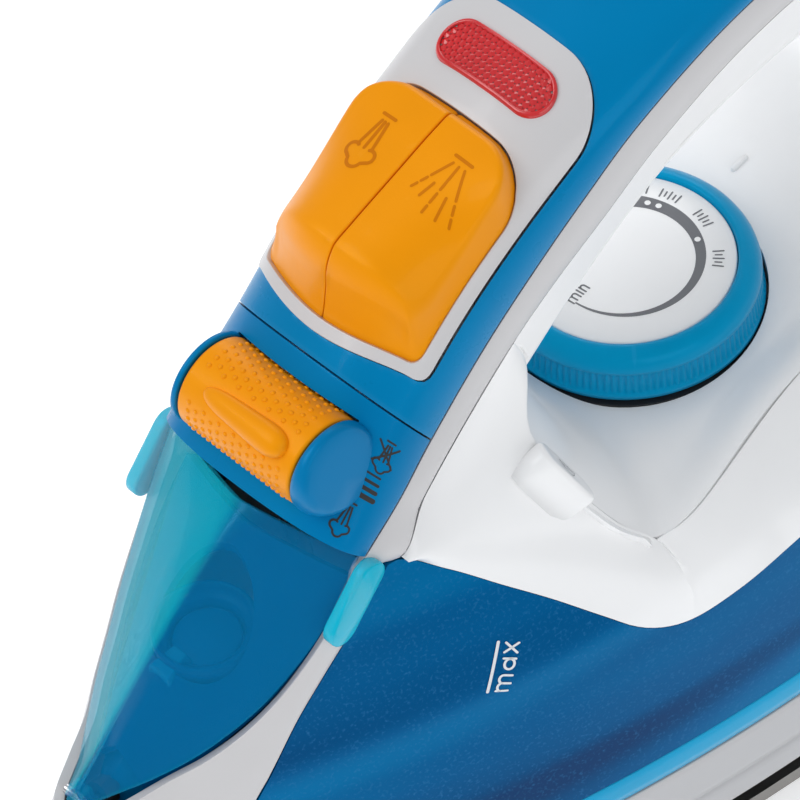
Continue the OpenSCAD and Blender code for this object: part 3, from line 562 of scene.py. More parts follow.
def tank_point(u, v):
    """A point on the tank's wall; the plan's outline leans with height, so its top is found step by step."""
    x = around(u, 30)[0]
    for _ in range(5):
        x = around(u, tank_top(x))[0]
    return around(u, mix(30.1, tank_top(x) - 0.15, v))


def make_tank():
    n, m = 420, 40
    grid = [[tank_point(2 * i / n, j / (m - 1)) for j in range(m)] for i in range(n)]
    obj = thicken(grid_object("water_tank_wall", grid, wrap_i=True), 2, 0.3)
    dress(obj, "tank_blue", nodes=["water_tank"])


make_skirt()
make_band()
make_tank()


# ---------- nose and side trim
def trim_point(q, v):
    s = abs(q) - 10
    e, l = edge(s), lower(s)
    bow = 4 * v * (1 - v)
    p = mix(l, e, v)
    front = 1 - smooth((s + 10) / 5)
    p[0] -= 1.6 * bow * front
    p[1] -= 0.7 * bow * (1 - 0.999 * (1 if s < -9.9 else 0))
    if q < 0:
        p[1] = -p[1]
    return p


def make_trim():
    steps = np.linspace(-22, 22, 353)
    rows = np.linspace(0.012, 0.988, 14)
    obj = thicken(grid_object("nose_side_trim", [[trim_point(q, v) for v in rows] for q in steps]), 1.8, 0.35)
    dress(obj, "grey_plastic", nodes=["nose_trim"])


make_trim()


# ---------- white shell halves
HOLE_FRONT = [(0, (-13, -49.3, 60.3)), (1, (-12.6, -46.6, 68.2)), (2, (-12.6, -40.4, 74.6)),
              (2.5, (-17.4, -37.2, 81)), (3, (-21.5, -30.5, 92)), (3.5, (-22.3, -23.5, 102)),
              (4, (-17, -19.8, 110.4)), (5, (-19.5, -21.2, 120.6))]
DECK_EDGE = knots(4, (-12.6, -40.4, 74.6), (-3, -41, 74.3), (22, -36.2, 74.6), (38, -34.8, 74.8),
                  (54, -34.6, 75.2), (72, -34.6, 76.4), (86, -34.4, 79), (104, -33.6, 80.6),
                  (123.2, -25.4, 80))
CREASE = knots(4, (-12.6, -46.6, 68.2), (0, -47.8, 67.8), (16, -46.6, 69.2), (36, -46, 70.6),
               (54, -45.8, 71), (72, -45.6, 71.4), (88, -44.6, 72), (104, -39.6, 71.6), (120.6, -25.4, 70))
TANK_RUN = knots(0, -51.5, -44, -36, -27.6, -13, -2, 18, 36, 54, 72, 88, 103.5, 116.4)
TRIM_RUN = knots(0, 0.15, 1, 2, 2.62, 3.25, 4.5, 6, 7, 8, 9, 10, 11, 12)
BAND_EDGE = knots(4, (-17, -19.8, 110.4), (1.5, -19.6, 121), (20, -19.5, 128.4), (37, -19.5, 130.6),
                  (55, -19.5, 130), (72, -19.5, 124.8), (85, -21, 114), (103.5, -24.6, 104),
                  (126, -25.4, 91))


def tank_edge(x):
    z = tank_top(x)
    return np.array([x, -half_w(x, z), z])


def side_point(c, r):
    low = tank_edge(float(curve(TANK_RUN, c)))
    high = lower(float(curve(TRIM_RUN, c)))
    if c <= 4:
        ease = (c / 4) ** 2.2
        bow = 1.5 * math.sin(math.pi / 5 * r) * (1 - c / 4)
        pillar = mix(low, high, r / 5)
        pillar[1] -= bow
        rim = curve(HOLE_FRONT, r) + (low - np.array(HOLE_FRONT[0][1])) * max(0.0, 1 - r) ** 2
        return mix(pillar, rim, ease)
    if r <= 2:
        crease, rim = curve(CREASE, c), curve(DECK_EDGE, c)
        k = [(0, low), (1, crease), (2, rim)]
        return curve(k, r)
    if r >= 4:
        return mix(curve(BAND_EDGE, c), high, r - 4)
    return mix(curve(DECK_EDGE, c), curve(BAND_EDGE, c), (r - 2) / 2)


def make_half(name, side, node):
    columns = np.concatenate([np.linspace(0, 4, 49), np.linspace(4, 12, 129)[1:]])
    rows = np.concatenate([np.linspace(0.0, 2, 25), np.linspace(2, 4, 17)[1:], np.linspace(4, 4.98, 9)[1:]])
    first, last = 48, 48 + int(round(128 * 6 / 8))
    grid = [[side_point(c, r) * np.array([1, side, 1]) for r in rows] for c in columns]
    obj = grid_object(name, grid, skip=lambda i, j: first <= i < last and 24 <= j < 40, flip=side < 0)
    thicken(obj, 2, 0.45)
    return dress(obj, "white_plastic", nodes=[node])


make_half("body_side_left", 1, "body_shell_left")
make_half("body_side_right", -1, "body_shell_right")


# ---------- deck and underside of the handle
DECK_MID = knots(0, (-14, 0, 104.6), (-13, 0, 98), (-9.5, 0, 87), (-5.5, 0, 79), (0, 0, 74.2), (8, 0, 72.8),
                 (24, 0, 72.3), (54, 0, 72.4), (76, 0, 74.5), (84, 0, 82), (85, 0, 94), (82.5, 0, 108))
DECK_SIDE = knots(0, (-18.3, -19.9, 108.6), (-22.1, -24, 101), (-20.5, -32, 89.5), (-16.8, -37.7, 80.2),
                  (-12.5, -40.3, 74.6), (-3, -40.9, 74.3), (22, -36.1, 74.6), (54, -34.5, 75.1),
                  (80, -34.4, 77.6), (87, -30.5, 86), (88.5, -25, 98), (86, -21.5, 112))


def deck_point(s, a):
    m, e = curve(DECK_MID, s), curve(DECK_SIDE, s)
    flat = smooth((s - 3) / 1.5) * smooth((8.6 - s) / 1.2)
    k = mix(abs(a) ** 2.6, smooth((abs(a) - 0.68) / 0.32), flat)
    kz = mix(abs(a) ** 2.6, smooth((abs(a) - 0.72) / 0.26), flat)
    return np.array([mix(m[0], e[0], abs(a) ** 2.6), -e[1] * np.sign(a) * abs(a) ** mix(0.96, 1.0, flat),
                     mix(m[2], e[2], kz)])


DIAL_TOP, DIAL_TILT, DIAL_R = (22.9, 0, 82), 6, 23.8
DIAL_FRAME = axis_frame(DIAL_TOP, (0, DIAL_TILT, 0))


def make_deck():
    grid = [[deck_point(s, a) for a in np.linspace(-0.99, 0.99, 97)] for s in np.linspace(0, 11, 150)]
    obj = thicken(grid_object("deck_moulding", grid), 2, 0)
    r = DIAL_R + 0.5
    cutter = revolve("dial_well", [(0.001, -20), (r, -20), (r, 20), (0.001, 20)], 96, DIAL_FRAME)
    cut(obj, cutter)
    soften(obj, 0.4)
    dress(obj, "white_plastic", nodes=["deck_panel"])


make_deck()

UNDER_MID = knots(0, (-13.6, 0, 105.4), (-3, 0, 112), (10, 0, 118.5), (22, 0, 122.6), (37, 0, 124.6),
                  (54, 0, 123.6), (69, 0, 118.8), (82, 0, 109.2))
UNDER_SIDE = knots(0, (-17.2, -19.4, 110), (-5, -19.4, 117.3), (9, -19.4, 124.2), (21, -19.4, 128.4),
                   (37, -19.3, 130.4), (55, -19.3, 129.8), (71.5, -19.3, 124.8), (84.5, -20.6, 114.2))


def under_point(s, a):
    m, e = curve(UNDER_MID, s), curve(UNDER_SIDE, s)
    t = min(1, abs(a)) * math.pi / 2
    k, h = max(0.0, math.cos(t)) ** 0.9, math.sin(t) ** 0.9
    return np.array([mix(e[0], m[0], k), -e[1] * np.sign(a) * h, mix(e[2], m[2], k)])


def make_underside():
    grid = [[under_point(s, a) for a in np.linspace(0.985, -0.985, 49)] for s in np.linspace(0, 7, 90)]
    obj = thicken(grid_object("handle_grip_underside", grid), 2, 0.4)
    dress(obj, "white_plastic", nodes=["handle_underside"])


make_underside()


# ---------- handle cover and bezel
def bowed_plan(x0, bow, x1, half, corner, front_corner, n=10):
    """Plan outline with a bowed front, round rear corners and small front corners; anticlockwise."""
    pts = []
    inner = half - front_corner
    for k in range(-n, n + 1):
        pts.append((x0 + bow * (inner / half * k / n) ** 2, -inner * k / n))
    xc = x0 + bow * (inner / half) ** 2
    pts += [(xc + front_corner * (1 - math.cos(t)) + 0.25 * front_corner * t,
             -inner - front_corner * math.sin(t))
            for t in np.linspace(0, math.pi / 2, 6)[1:]]
    pts += [(x1 - corner + corner * math.sin(t), -half + corner - corner * math.cos(t))
            for t in np.linspace(0, math.pi / 2, 14)]
    pts += [(x1 - corner + corner * math.cos(t), half - corner + corner * math.sin(t))
            for t in np.linspace(0, math.pi / 2, 14)]
    pts += [(xc + front_corner * (1 - math.cos(t)) + 0.25 * front_corner * t,
             inner + front_corner * math.sin(t))
            for t in np.linspace(math.pi / 2, 0, 6)[:-1]]
    return pts


def dense(loop, count):
    """The closed loop again with evenly spaced points."""
    pts = np.array(loop + [loop[0]], float)
    run = np.concatenate([[0], np.cumsum(np.linalg.norm(np.diff(pts, axis=0), axis=1))])
    at = np.linspace(0, run[-1], count, endpoint=False)
    return [(float(np.interp(t, run, pts[:, 0])), float(np.interp(t, run, pts[:, 1]))) for t in at]


BEZEL_PLAN = dict(x0=-42.6, bow=5.6, x1=12.6, half=19.2, corner=11, front_corner=2.2)
BUTTON_PLAN = dict(x0=-40.4, bow=4.4, x1=-5.7, half=17.2, corner=9, front_corner=1.6)
KEY_GAP = 0.35


def make_cover():
    grid = [[crown(s, a) for a in np.linspace(-0.992, 0.992, 121)] for s in np.linspace(2.008, 12, 300)]
    obj = thicken(grid_object("handle_cover_moulding", grid), 1.8, 0)
    hole = prism("hole", dense(bowed_plan(**BEZEL_PLAN), 160), 100, 170)
    collar = revolve("collar_hole", [(0.001, -12), (8.85, -12), (8.85, 16), (0.001, 16)], 72, GLAND_FRAME)
    cut(obj, hole, collar)
    soften(obj, 0.3)
    dress(obj, "handle_blue", nodes=["handle_cover"])


def gland_frame():
    place = crest(10.8)
    turn = Matrix.Rotation(math.radians(36), 4, "Y")
    return Matrix.Translation(Vector([c * MM for c in place])) @ turn @ Matrix.Translation((0, 0, -1 * MM))


GLAND_FRAME = gland_frame()
make_cover()


def make_bezel():
    """Each point of the outer edge is joined to the opening's point in the same direction."""
    opening = dict(BUTTON_PLAN, x0=BUTTON_PLAN["x0"] - KEY_GAP, x1=BUTTON_PLAN["x1"] + KEY_GAP,
                   half=BUTTON_PLAN["half"] + KEY_GAP, front_corner=1.8)
    inner = np.array(dense(bowed_plan(**opening), 960))
    grid = []
    for x, y in dense(bowed_plan(**BEZEL_PLAN), 240):
        origin = np.array([-14.0 if x > -8 else -22.0, 0.0])
        angle = math.atan2(y, x - origin[0])
        rel = inner - origin
        diff = np.abs((np.arctan2(rel[:, 1], rel[:, 0]) - angle + math.pi) % (2 * math.pi) - math.pi)
        q = inner[int(np.argmin(diff))]
        grid.append([crown_at(*mix(q, np.array([x, y]), t), lift=0.75) for t in np.linspace(0, 1, 13)])
    obj = grid_object("button_surround", grid, wrap_i=True)
    thicken(obj, 3, 0.45, out=(0, 0, 1))
    dress(obj, "grey_plastic", nodes=["button_bezel"])


make_bezel()


# ---------- marks: strokes laid on a surface
def ribbon(points, width):
    """A flat stroke of the given width along 2D points, as (points, faces)."""
    pts = [np.array(p, float) for p in points]
    left, right = [], []
    for i, p in enumerate(pts):
        a, b = pts[max(0, i - 1)], pts[min(len(pts) - 1, i + 1)]
        d = (b - a) / max(1e-9, np.linalg.norm(b - a))
        n = np.array([-d[1], d[0]]) * width / 2
        left.append(p + n)
        right.append(p - n)
    loop = left + cap_points(pts[-1], pts[-1] - pts[-2], width)
    loop += right[::-1] + cap_points(pts[0], pts[0] - pts[1], width)
    n = len(pts)
    k = len(loop) - 2 * n
    faces = []
    for i in range(n - 1):
        faces.append([i, i + 1, len(left) + (k // 2) + n - 2 - i, len(left) + (k // 2) + n - 1 - i])
    faces.append([n - 1] + list(range(n, n + k // 2)) + [n + k // 2])
    faces.append([2 * n + k // 2 - 1] + list(range(2 * n + k // 2, 2 * n + k)) + [0])
    return loop, [f[::-1] for f in faces]


def cap_points(end, direction, width, n=5):
    d = direction / np.linalg.norm(direction)
    side = np.array([-d[1], d[0]])
    turns = np.linspace(0, math.pi, n + 2)[1:-1]
    return [end + width / 2 * (side * math.cos(t) + d * math.sin(t)) for t in turns]


def arc2(cx, cy, r, a0, a1, n=14):
    return [(cx + r * math.cos(math.radians(t)), cy + r * math.sin(math.radians(t)))
            for t in np.linspace(a0, a1, n)]


def line2(a, b, n=8):
    return [(mix(a[0], b[0], t), mix(a[1], b[1], t)) for t in np.linspace(0, 1, n)]


def marks(name, strokes, place, lift=0.05):
    """One mesh of strokes [(2D points, width)]; place(u, v, height) gives the surface point."""
    parts = []
    for line, width in strokes:
        loop, cells = ribbon(line, width)
        parts.append(([place(u, v, lift) for u, v in loop], cells))
    return join_parts(name, parts)


def fix_normals(obj):
    bm = bmesh.new()
    bm.from_mesh(obj.data)
    bmesh.ops.recalc_face_normals(bm, faces=bm.faces)
    bm.to_mesh(obj.data)
    bm.free()


def steam_icon():
    """A short bar, a narrow fan of lines and a cloud."""
    cloud = arc2(-0.95, -1.7, 0.6, 60, 250) + arc2(0, -2.4, 0.75, 190, 350) + arc2(0.95, -1.7, 0.6, -70, 120)
    return [(line2((-0.7, 2.1), (0.7, 2.1)), 0.3), (line2((-0.35, 1.5), (-0.8, -1.0)), 0.3),
            (line2((0, 1.5), (0, -1.2)), 0.3), (line2((0.35, 1.5), (0.8, -1.0)), 0.3), (cloud, 0.32)]


def spray_icon():
    """A bar, three rays and dashes that spread from it."""
    strokes = [(line2((-1.6, 4.2), (1.6, 4.2)), 0.5)]
    rays = {-24: [(0.5, 3.9), (4.5, 5.5), (6.1, 7.0)], -12: [(4.3, 6.9)],
            0: [(0.5, 4.4), (5.1, 6.6), (7.2, 8.3)],
            12: [(4.9, 8.1)], 24: [(0.5, 4.6), (5.3, 6.4), (7.0, 8.0)]}
    for angle, pieces in rays.items():
        s, c = math.sin(math.radians(angle)), math.cos(math.radians(angle))
        start = angle / 24 * 0.9
        for a, b in pieces:
            strokes.append((line2((start + a * s, 3.6 - a * c), (start + b * s, 3.6 - b * c)), 0.42))
    return strokes


# ---------- steam and spray buttons
BUTTON_TOP = [(-41, 137.5), (-38.5, 142.6), (-35.5, 145.1), (-31, 146.5), (-25, 148), (-19.2, 149.4),
              (-13.1, 150.9), (-5.2, 152.4)]
CENTRE = (-20.5, 7.2)
SEAM = 0.12


def button_height(x, y):
    """The domed top: its sides fall away more towards the front."""
    fall = mix(0.5, 7.6, smooth((-8 - x) / 26))
    return float(curve(BUTTON_TOP, x)) - fall * (min(1.1, abs(y) / 15.6)) ** 3.2


def button_outline(n):
    """Half of the plan, from the seam round the side and back, as [(x, y)]."""
    loop = dense(bowed_plan(**BUTTON_PLAN), 400)
    side = [p for p in loop if p[1] > 0.12]
    side.sort(key=lambda p: math.atan2(p[1] - 0, p[0] - CENTRE[0]))
    side = [(side[0][0], 0.12)] + side + [(side[-1][0], 0.12)]
    seam = [(mix(side[-1][0], side[0][0], t), 0.12) for t in np.linspace(0, 1, 60)[1:-1]]
    return dense(side + seam, n)


def roll_radius(x, y):
    """How softly the top rolls over: wide at the front, crisp along the sides."""
    front = smooth((-31 - x) / 5.5)
    rear = smooth((x + 12) / 5)
    return max(1.0 + 3.6 * front * smooth((16.8 - y) / 3.0), 1.0 + 0.9 * rear)


def rolled(d, r):
    """How far a rounded edge of radius r has fallen at the distance d inside it."""
    return r * (1 - math.sqrt(max(0.0, 1 - (1 - min(1.0, d / r)) ** 2)))


def key_top(x, y, low, plan_edge):
    """Height of a key's skin: a leaning wall, a rounded edge, the dome, and a fine groove at the seam."""
    inset = float(np.min(np.hypot(plan_edge[:, 0] - x, plan_edge[:, 1] - y)))
    lean = mix(1.0, 2.2, smooth((-30 - x) / 8))
    roll = roll_radius(x, y)
    groove = rolled(max(0.0, y - SEAM), 0.35)
    top = button_height(x, y)
    if inset < lean:
        return mix(low, max(low, top - roll), inset / lean) - groove
    return top - rolled(inset - lean, roll) - groove


def make_button(name, side, body, node, plunger, icon, icon_place, icon_scale):
    outline = button_outline(220)
    plan_edge = np.array([q for q in dense(bowed_plan(**BUTTON_PLAN), 900) if q[1] > -1.0])
    rings = np.concatenate([[1.0], 1 - np.linspace(0.004, 0.2, 16), np.linspace(0.78, 0.0, 25)])
    rows = []
    for x, y in outline:
        radial = np.array([x - CENTRE[0], y - CENTRE[1]])
        low = crown_at(x, min(y, 16.5))[2]
        row = [(CENTRE[0] + radial[0] * k, CENTRE[1] + radial[1] * k, mix(142.6, low - 3.0, k))
               for k in (0.0, 0.35, 0.7, 1.0)]
        for k in rings:
            px, py = CENTRE[0] + radial[0] * k, CENTRE[1] + radial[1] * k
            row.append((px, py, key_top(px, py, low, plan_edge)))
        rows.append([(p[0], p[1] * side, p[2]) for p in row])
    obj = grid_object(name, rows, wrap_i=True)
    close_solid(obj)

    def place(u, v, height):
        x, y = icon_place[0] + v * icon_scale, icon_place[1] - u * icon_scale
        return np.array([x, y, button_height(x, y) + height])

    rod = [(0.001, 112), (3.45, 112), (3.45, 141), (5.1, 141), (5.1, 142.4), (3.45, 142.4), (3.45, 144.6),
           (3.1, 145), (0.001, 145)]
    stem = revolve(name + "_stem", rod, 48, axis_frame((-23, 8.4 * side, 0)))
    fix_normals(stem)
    dress(stem, "natural", body, [plunger])
    dress(obj, "orange", body, [node])
    # the icon strokes lie flat on the key; their darker orange is painted shade for the engraved grooves
    dress(marks(name + "_icon", icon, place, lift=0.05), "groove_shade_orange", body)


def close_solid(obj):
    """Closes the open loops of a lofted piece and turns its faces outwards."""
    bm = bmesh.new()
    bm.from_mesh(obj.data)
    bmesh.ops.remove_doubles(bm, verts=bm.verts, dist=0.000005)
    bmesh.ops.holes_fill(bm, edges=[e for e in bm.edges if e.is_boundary], sides=0)
    bmesh.ops.recalc_face_normals(bm, faces=bm.faces)
    for f in bm.faces:
        f.smooth = True
    bm.to_mesh(obj.data)
    bm.free()


make_button("spray_key_top", -1, "spray_key", "spray_button", "spray_plunger", spray_icon(), (-17.4, -8.2),
            1.15)
make_button("steam_key_top", 1, "steam_key", "steam_button", "steam_plunger", steam_icon(), (-17.6, 7.6), 1.9)


# ---------- lens
LENS_X, LENS_R, LENS_HALF = 3.4, 4.25, 8
LENS_FLOOR = 1.02
PRISM_R, PRISM_PITCH = 0.72, 1.25


def make_lens():
    """A smooth rim, a field of six-sided prisms inside it, and a dark red plate under them, painted shade for
    the lens's unlit depths.
    """
    plan = [(LENS_X + LENS_R * math.cos(t), LENS_HALF * side + LENS_R * math.sin(t))
            for side, t0 in ((1, 0), (-1, math.pi)) for t in np.linspace(t0, t0 + math.pi, 24)]
    outline = dense(plan, 120)
    rim_levels = ((1.0, -2.0), (1.0, 0.95), (0.985, 1.25), (0.95, 1.42), (0.9, 1.48), (0.86, 1.42),
                  (0.84, 1.1))
    grid = []
    for x, y in outline:
        row = []
        for share, lift in rim_levels:
            px = LENS_X + (x - LENS_X) * share
            py = y - (1 - share) * LENS_R * np.sign(y) * min(1, abs(y) / LENS_HALF)
            p = crown_at(px, py)
            row.append((px, py, p[2] + lift))
        grid.append(row)
    rim = grid_object("lens_rim", grid, wrap_i=True)
    dress(rim, "red_lens", nodes=["indicator_lens"])
    parts = []
    for i in range(-4, 5):
        for j in range(-11, 12):
            cx, cy = LENS_X + i * PRISM_PITCH * 0.87, (j + (i % 2) / 2) * PRISM_PITCH
            if inside_lens(cx, cy, 3.75):
                corners = [(cx + PRISM_R * math.cos(t), cy + PRISM_R * math.sin(t))
                           for t in np.radians([30, 90, 150, 210, 270, 330])]
                points = [(cx, cy, crown_at(cx, cy)[2] + 1.42)]
                points += [(x, y, crown_at(x, y)[2] + LENS_FLOOR) for x, y in corners]
                parts.append((points, [[0, 1 + k, 1 + (k + 1) % 6] for k in range(6)]))
    prisms = join_parts("lens_prisms", parts)
    prisms.data.polygons.foreach_set("use_smooth", [False] * len(prisms.data.polygons))
    dress(prisms, "red_lens")
    # the plate under the prisms: painted shade for the lens's unlit depths, seen between and around them
    base = []
    for x, y in outline:
        shrunk = [(LENS_X + (x - LENS_X) * k, y * k) for k in (0.9, 0.6, 0.3, 0.02)]
        base.append([(px, py, crown_at(px, py)[2] + LENS_FLOOR) for px, py in shrunk])
    plate = grid_object("lens_plate", base, wrap_i=True)
    face_towards(plate, (0, 0, 1))
    dress(plate, "lens_depth_shade")


def inside_lens(x, y, r):
    y_near = max(-LENS_HALF, min(LENS_HALF, y))
    return (x - LENS_X) ** 2 + (y - y_near) ** 2 < r * r


make_lens()


# ---------- control panel, roller and its cheeks
ROLLER = (-55.1, 118.4)
ROLLER_R, ROLLER_HALF = 8.3, 13.0
ROLLER_FRAME = axis_frame((ROLLER[0], 0, ROLLER[1]), (90, 0, 0))


def make_panel():
    grid = [[crown(s, a) for a in np.linspace(-0.99, 0.99, 121)] for s in np.linspace(0.02, 1.985, 70)]
    obj = thicken(grid_object("control_panel_moulding", grid), 1.8, 0)
    half, r = 13.9, ROLLER_R + 0.45
    slot = revolve("slot", [(0.001, -half), (r, -half), (r, half), (0.001, half)], 96, ROLLER_FRAME)
    cut(obj, slot)
    soften(obj, 0.4)
    dress(obj, "panel_blue", nodes=["control_panel"])
    for side in (-1, 1):
        profile = [(0.001, 13.35), (8.0, 13.35), (8.3, 13.45), (8.45, 13.7), (8.5, 14.3), (8.35, 15.4),
                   (7.9, 16.6), (7.1, 17.7), (6.2, 18.5), (5.2, 18.9), (0.001, 19.05)]
        cheek = revolve("roller_cheek_" + ("left" if side < 0 else "right"), profile, 96,
                        ROLLER_FRAME @ Matrix.Diagonal((1, 1, -side, 1)))
        for v in cheek.data.vertices:
            limit = (14.9 + (126.7 - v.co.z / MM) * 0.3) * MM if side < 0 else 14.1 * MM
            over = abs(v.co.y) - limit
            if over > 0:
                v.co.y = math.copysign(limit + 0.12 * over, v.co.y)
        fix_normals(cheek)
        dress(cheek, "panel_blue")


RIDGE_TURN = 38


def on_roller(axial, turn, radius):
    """A roller point: distance along the axle, angle from straight up towards the tip, radius."""
    return (ROLLER[0] - radius * math.sin(turn), axial, ROLLER[1] + radius * math.cos(turn))


def roller_dot(axial, turn):
    rings = [(0.46, -0.06), (0.4, 0.12), (0.26, 0.24), (0.1, 0.29)]
    pts = [on_roller(axial + w * math.cos(t), turn + w * math.sin(t) / ROLLER_R, ROLLER_R + h)
           for w, h in rings for t in np.linspace(0, 2 * math.pi, 10, endpoint=False)]
    return pts, grid_faces(len(rings), 10, wrap_j=True) + [list(range(30, 40))]


def roller_ridge():
    """The long thumb ridge: full at its near end, tapering to the far end."""
    centre, pts = math.radians(RIDGE_TURN), []
    n, m = 60, 24
    for i in range(n):
        t = i / (n - 1)
        axial = mix(-10.6, 8.4, t)
        cap = math.sqrt(max(0.0, 1 - abs(2 * t - 1) ** 5))
        half, high = mix(2.5, 1.5, t) * cap, mix(2.7, 1.3, t) * cap
        for j in range(m):
            a = math.pi * j / (m - 1)
            pts.append(on_roller(axial, centre + half * math.cos(a) * 1.15 / ROLLER_R,
                                 ROLLER_R - 0.15 + (high + 0.15) * math.sin(a) ** 0.8))
    return pts, grid_faces(n, m)


def make_roller():
    half, r = ROLLER_HALF, ROLLER_R
    rim = 0.7
    profile = [(2.02, -half)] + arc2(r - rim, -half + rim, rim, -90, 0, 7)
    profile += arc2(r - rim, half - rim, rim, 0, 90, 7) + [(2.02, half)]
    n = 128
    barrel = [on_roller(h, 2 * math.pi * i / n, radius) for i in range(n) for radius, h in profile]
    parts = [(barrel, grid_faces(n, len(profile), True, True)), roller_ridge()]
    pitch, around_count = 1.72, 29
    for k in range(-6, 7):
        for i in range(around_count):
            turn = 2 * math.pi * (i + (k % 2) / 2) / around_count
            off = abs((turn - math.radians(RIDGE_TURN) + math.pi) % (2 * math.pi) - math.pi) * r
            if off > 3.4:
                parts.append(roller_dot(k * pitch, turn))
    obj = join_parts("steam_roller_barrel", parts)
    fix_normals(obj)
    dress(obj, "orange", "roller", ["steam_roller"])
    rod = [(0.001, -13.4), (1.8, -13.4), (2.0, -13.2), (2.0, 13.2), (1.8, 13.4), (0.001, 13.4)]
    pin = revolve("steam_roller_pin", rod, 48, axis_frame((ROLLER[0], 0, ROLLER[1]), (90, 0, 0)))
    fix_normals(pin)
    dress(pin, "steel", "roller", ["roller_axle"])


def panel_place(s0, a0):
    """Lays 2D marks on the panel: u across towards the edge, v up along the panel."""
    def place(u, v, height):
        return crown(s0 + 1.15 * v / 12.2, a0 - 1.15 * u / 22.0, height)
    return place


def make_panel_marks():
    icons = [(0.47, -0.615, steam_icon()), (1.5, -0.685, steam_icon())]
    for k, (s0, a0, icon) in enumerate(icons):
        dress(marks("steam_mark_%d" % (k + 1), icon, panel_place(s0, a0)), "mark_black")
    cross = [(line2((-1.7, -1.7), (1.7, 1.7)), 0.32), (line2((-1.7, 1.7), (1.7, -1.7)), 0.32)]
    dress(marks("no_steam_cross", cross, panel_place(1.5, -0.685), 0.08), "mark_black")
    bars = [(line2((-1.1 - 0.22 * k, -1.15 * k), (1.1 + 0.22 * k, -1.15 * k)), 0.34 + 0.14 * k)
            for k in range(4)]
    dress(marks("steam_level_bars", bars, panel_place(1.14, -0.665)), "mark_black")


make_panel()
make_roller()
make_panel_marks()


# ---------- filler: bed, neck, clear cap and its ears
RIDGE = [(0, (-109.3, 0, 73.2)), (0.5, (-87.2, 0, 90.2)), (1, (-64.6, 0, 107))]
CAP_EDGE = [(0, (-110.3, -2, 70.6)), (0.12, (-104.6, -4.8, 70.8)), (0.24, (-98.8, -8.4, 72.3)),
            (0.36, (-92.6, -12, 74.8)), (0.48, (-86.4, -14.9, 78)), (0.6, (-80.4, -17.4, 82)),
            (0.72, (-74.3, -19.3, 87)), (0.84, (-68.4, -20.8, 92.8)), (0.93, (-63.4, -21.3, 98.8)),
            (1, (-59, -21.6, 103.8))]
FILLER = (-77, 0)


def cap_point(t, a):
    r, e = curve(RIDGE, t), curve(CAP_EDGE, t)
    d = abs(a) ** 1.2
    return np.array([mix(r[0], e[0], d), -e[1] * np.sign(a) * abs(a) ** 0.92, mix(r[2], e[2], d)])


def make_cap():
    grid = [[cap_point(t, a) for a in np.linspace(-1, 1, 65)] for t in np.linspace(0.0, 1, 90)]
    obj = thicken(grid_object("filler_cap_shell", grid), 1.1, 0.3, 2)
    dress(obj, "cap_clear", "cap", ["filler_cap"])


def stadium(half, r, n=14):
    return [(half + r * math.sin(t), -r * math.cos(t)) for t in np.linspace(0, math.pi, n)] + \
        [(-half - r * math.sin(t), r * math.cos(t)) for t in np.linspace(0, math.pi, n)]


def pad(name, outline, levels, matrix):
    """A lofted pad: levels are (height, inset as a share of the outline)."""
    rows = []
    for x, y in outline:
        rows.append([(x * k, y * q, h) for h, k, q in levels])
    obj = grid_object(name, rows, wrap_i=True)
    close_solid(obj)
    obj.data.transform(matrix)
    return obj


def make_ears():
    for side in (-1, 1):
        label = "left" if side < 0 else "right"
        on_edge = Matrix.Rotation(math.radians(90), 4, "X")
        frame_ear = axis_frame((-62.8, side * 23.3, 97.2), (0, -42, 0)) @ on_edge
        levels = [(-1.2, 0.96, 0.8), (-1.1, 0.99, 0.93), (-0.8, 1, 1), (0.8, 1, 1), (1.1, 0.99, 0.93),
                  (1.2, 0.96, 0.8)]
        ear = pad("cap_ear_" + label, stadium(5, 3.1), levels, frame_ear)
        dress(ear, "ear_clear", "cap", ["cap_ears"] if side < 0 else [])


def bed_point(t, a):
    p = cap_point(t, a)
    return np.array([p[0] + 2.2, p[1] * 0.9, p[2] - 3.6 - 1.4 * (1 - abs(a))])


def make_bed():
    grid = [[bed_point(t, a) for a in np.linspace(-1, 1, 61)] for t in np.linspace(0.17, 0.955, 90)]
    for row in grid:
        for k, p in enumerate(row):
            d = math.hypot(p[0] - FILLER[0], p[1] - FILLER[1])
            row[k] = np.array([p[0], p[1], p[2] - 1.3 * (1 - smooth((d - 8.5) / 4.5))])
    obj = thicken(grid_object("filler_bed_moulding", grid), 1.6, 0)
    hole = revolve("mouth", [(0.001, 60), (9.3, 60), (9.3, 110), (0.001, 110)], 96,
                   axis_frame((FILLER[0], 0, 0)))
    cut(obj, hole)
    soften(obj, 0.35)
    dress(obj, "bed_blue", nodes=["filler_bed"])
    seat = [[bed_point(t, a) - np.array([0, 0, 4.5]) for a in np.linspace(-0.95, 0.95, 17)] for t in
            np.linspace(0.03, 0.3, 14)]
    dress(thicken(grid_object("nozzle_seat", seat), 1.2, 0.3), "panel_blue")


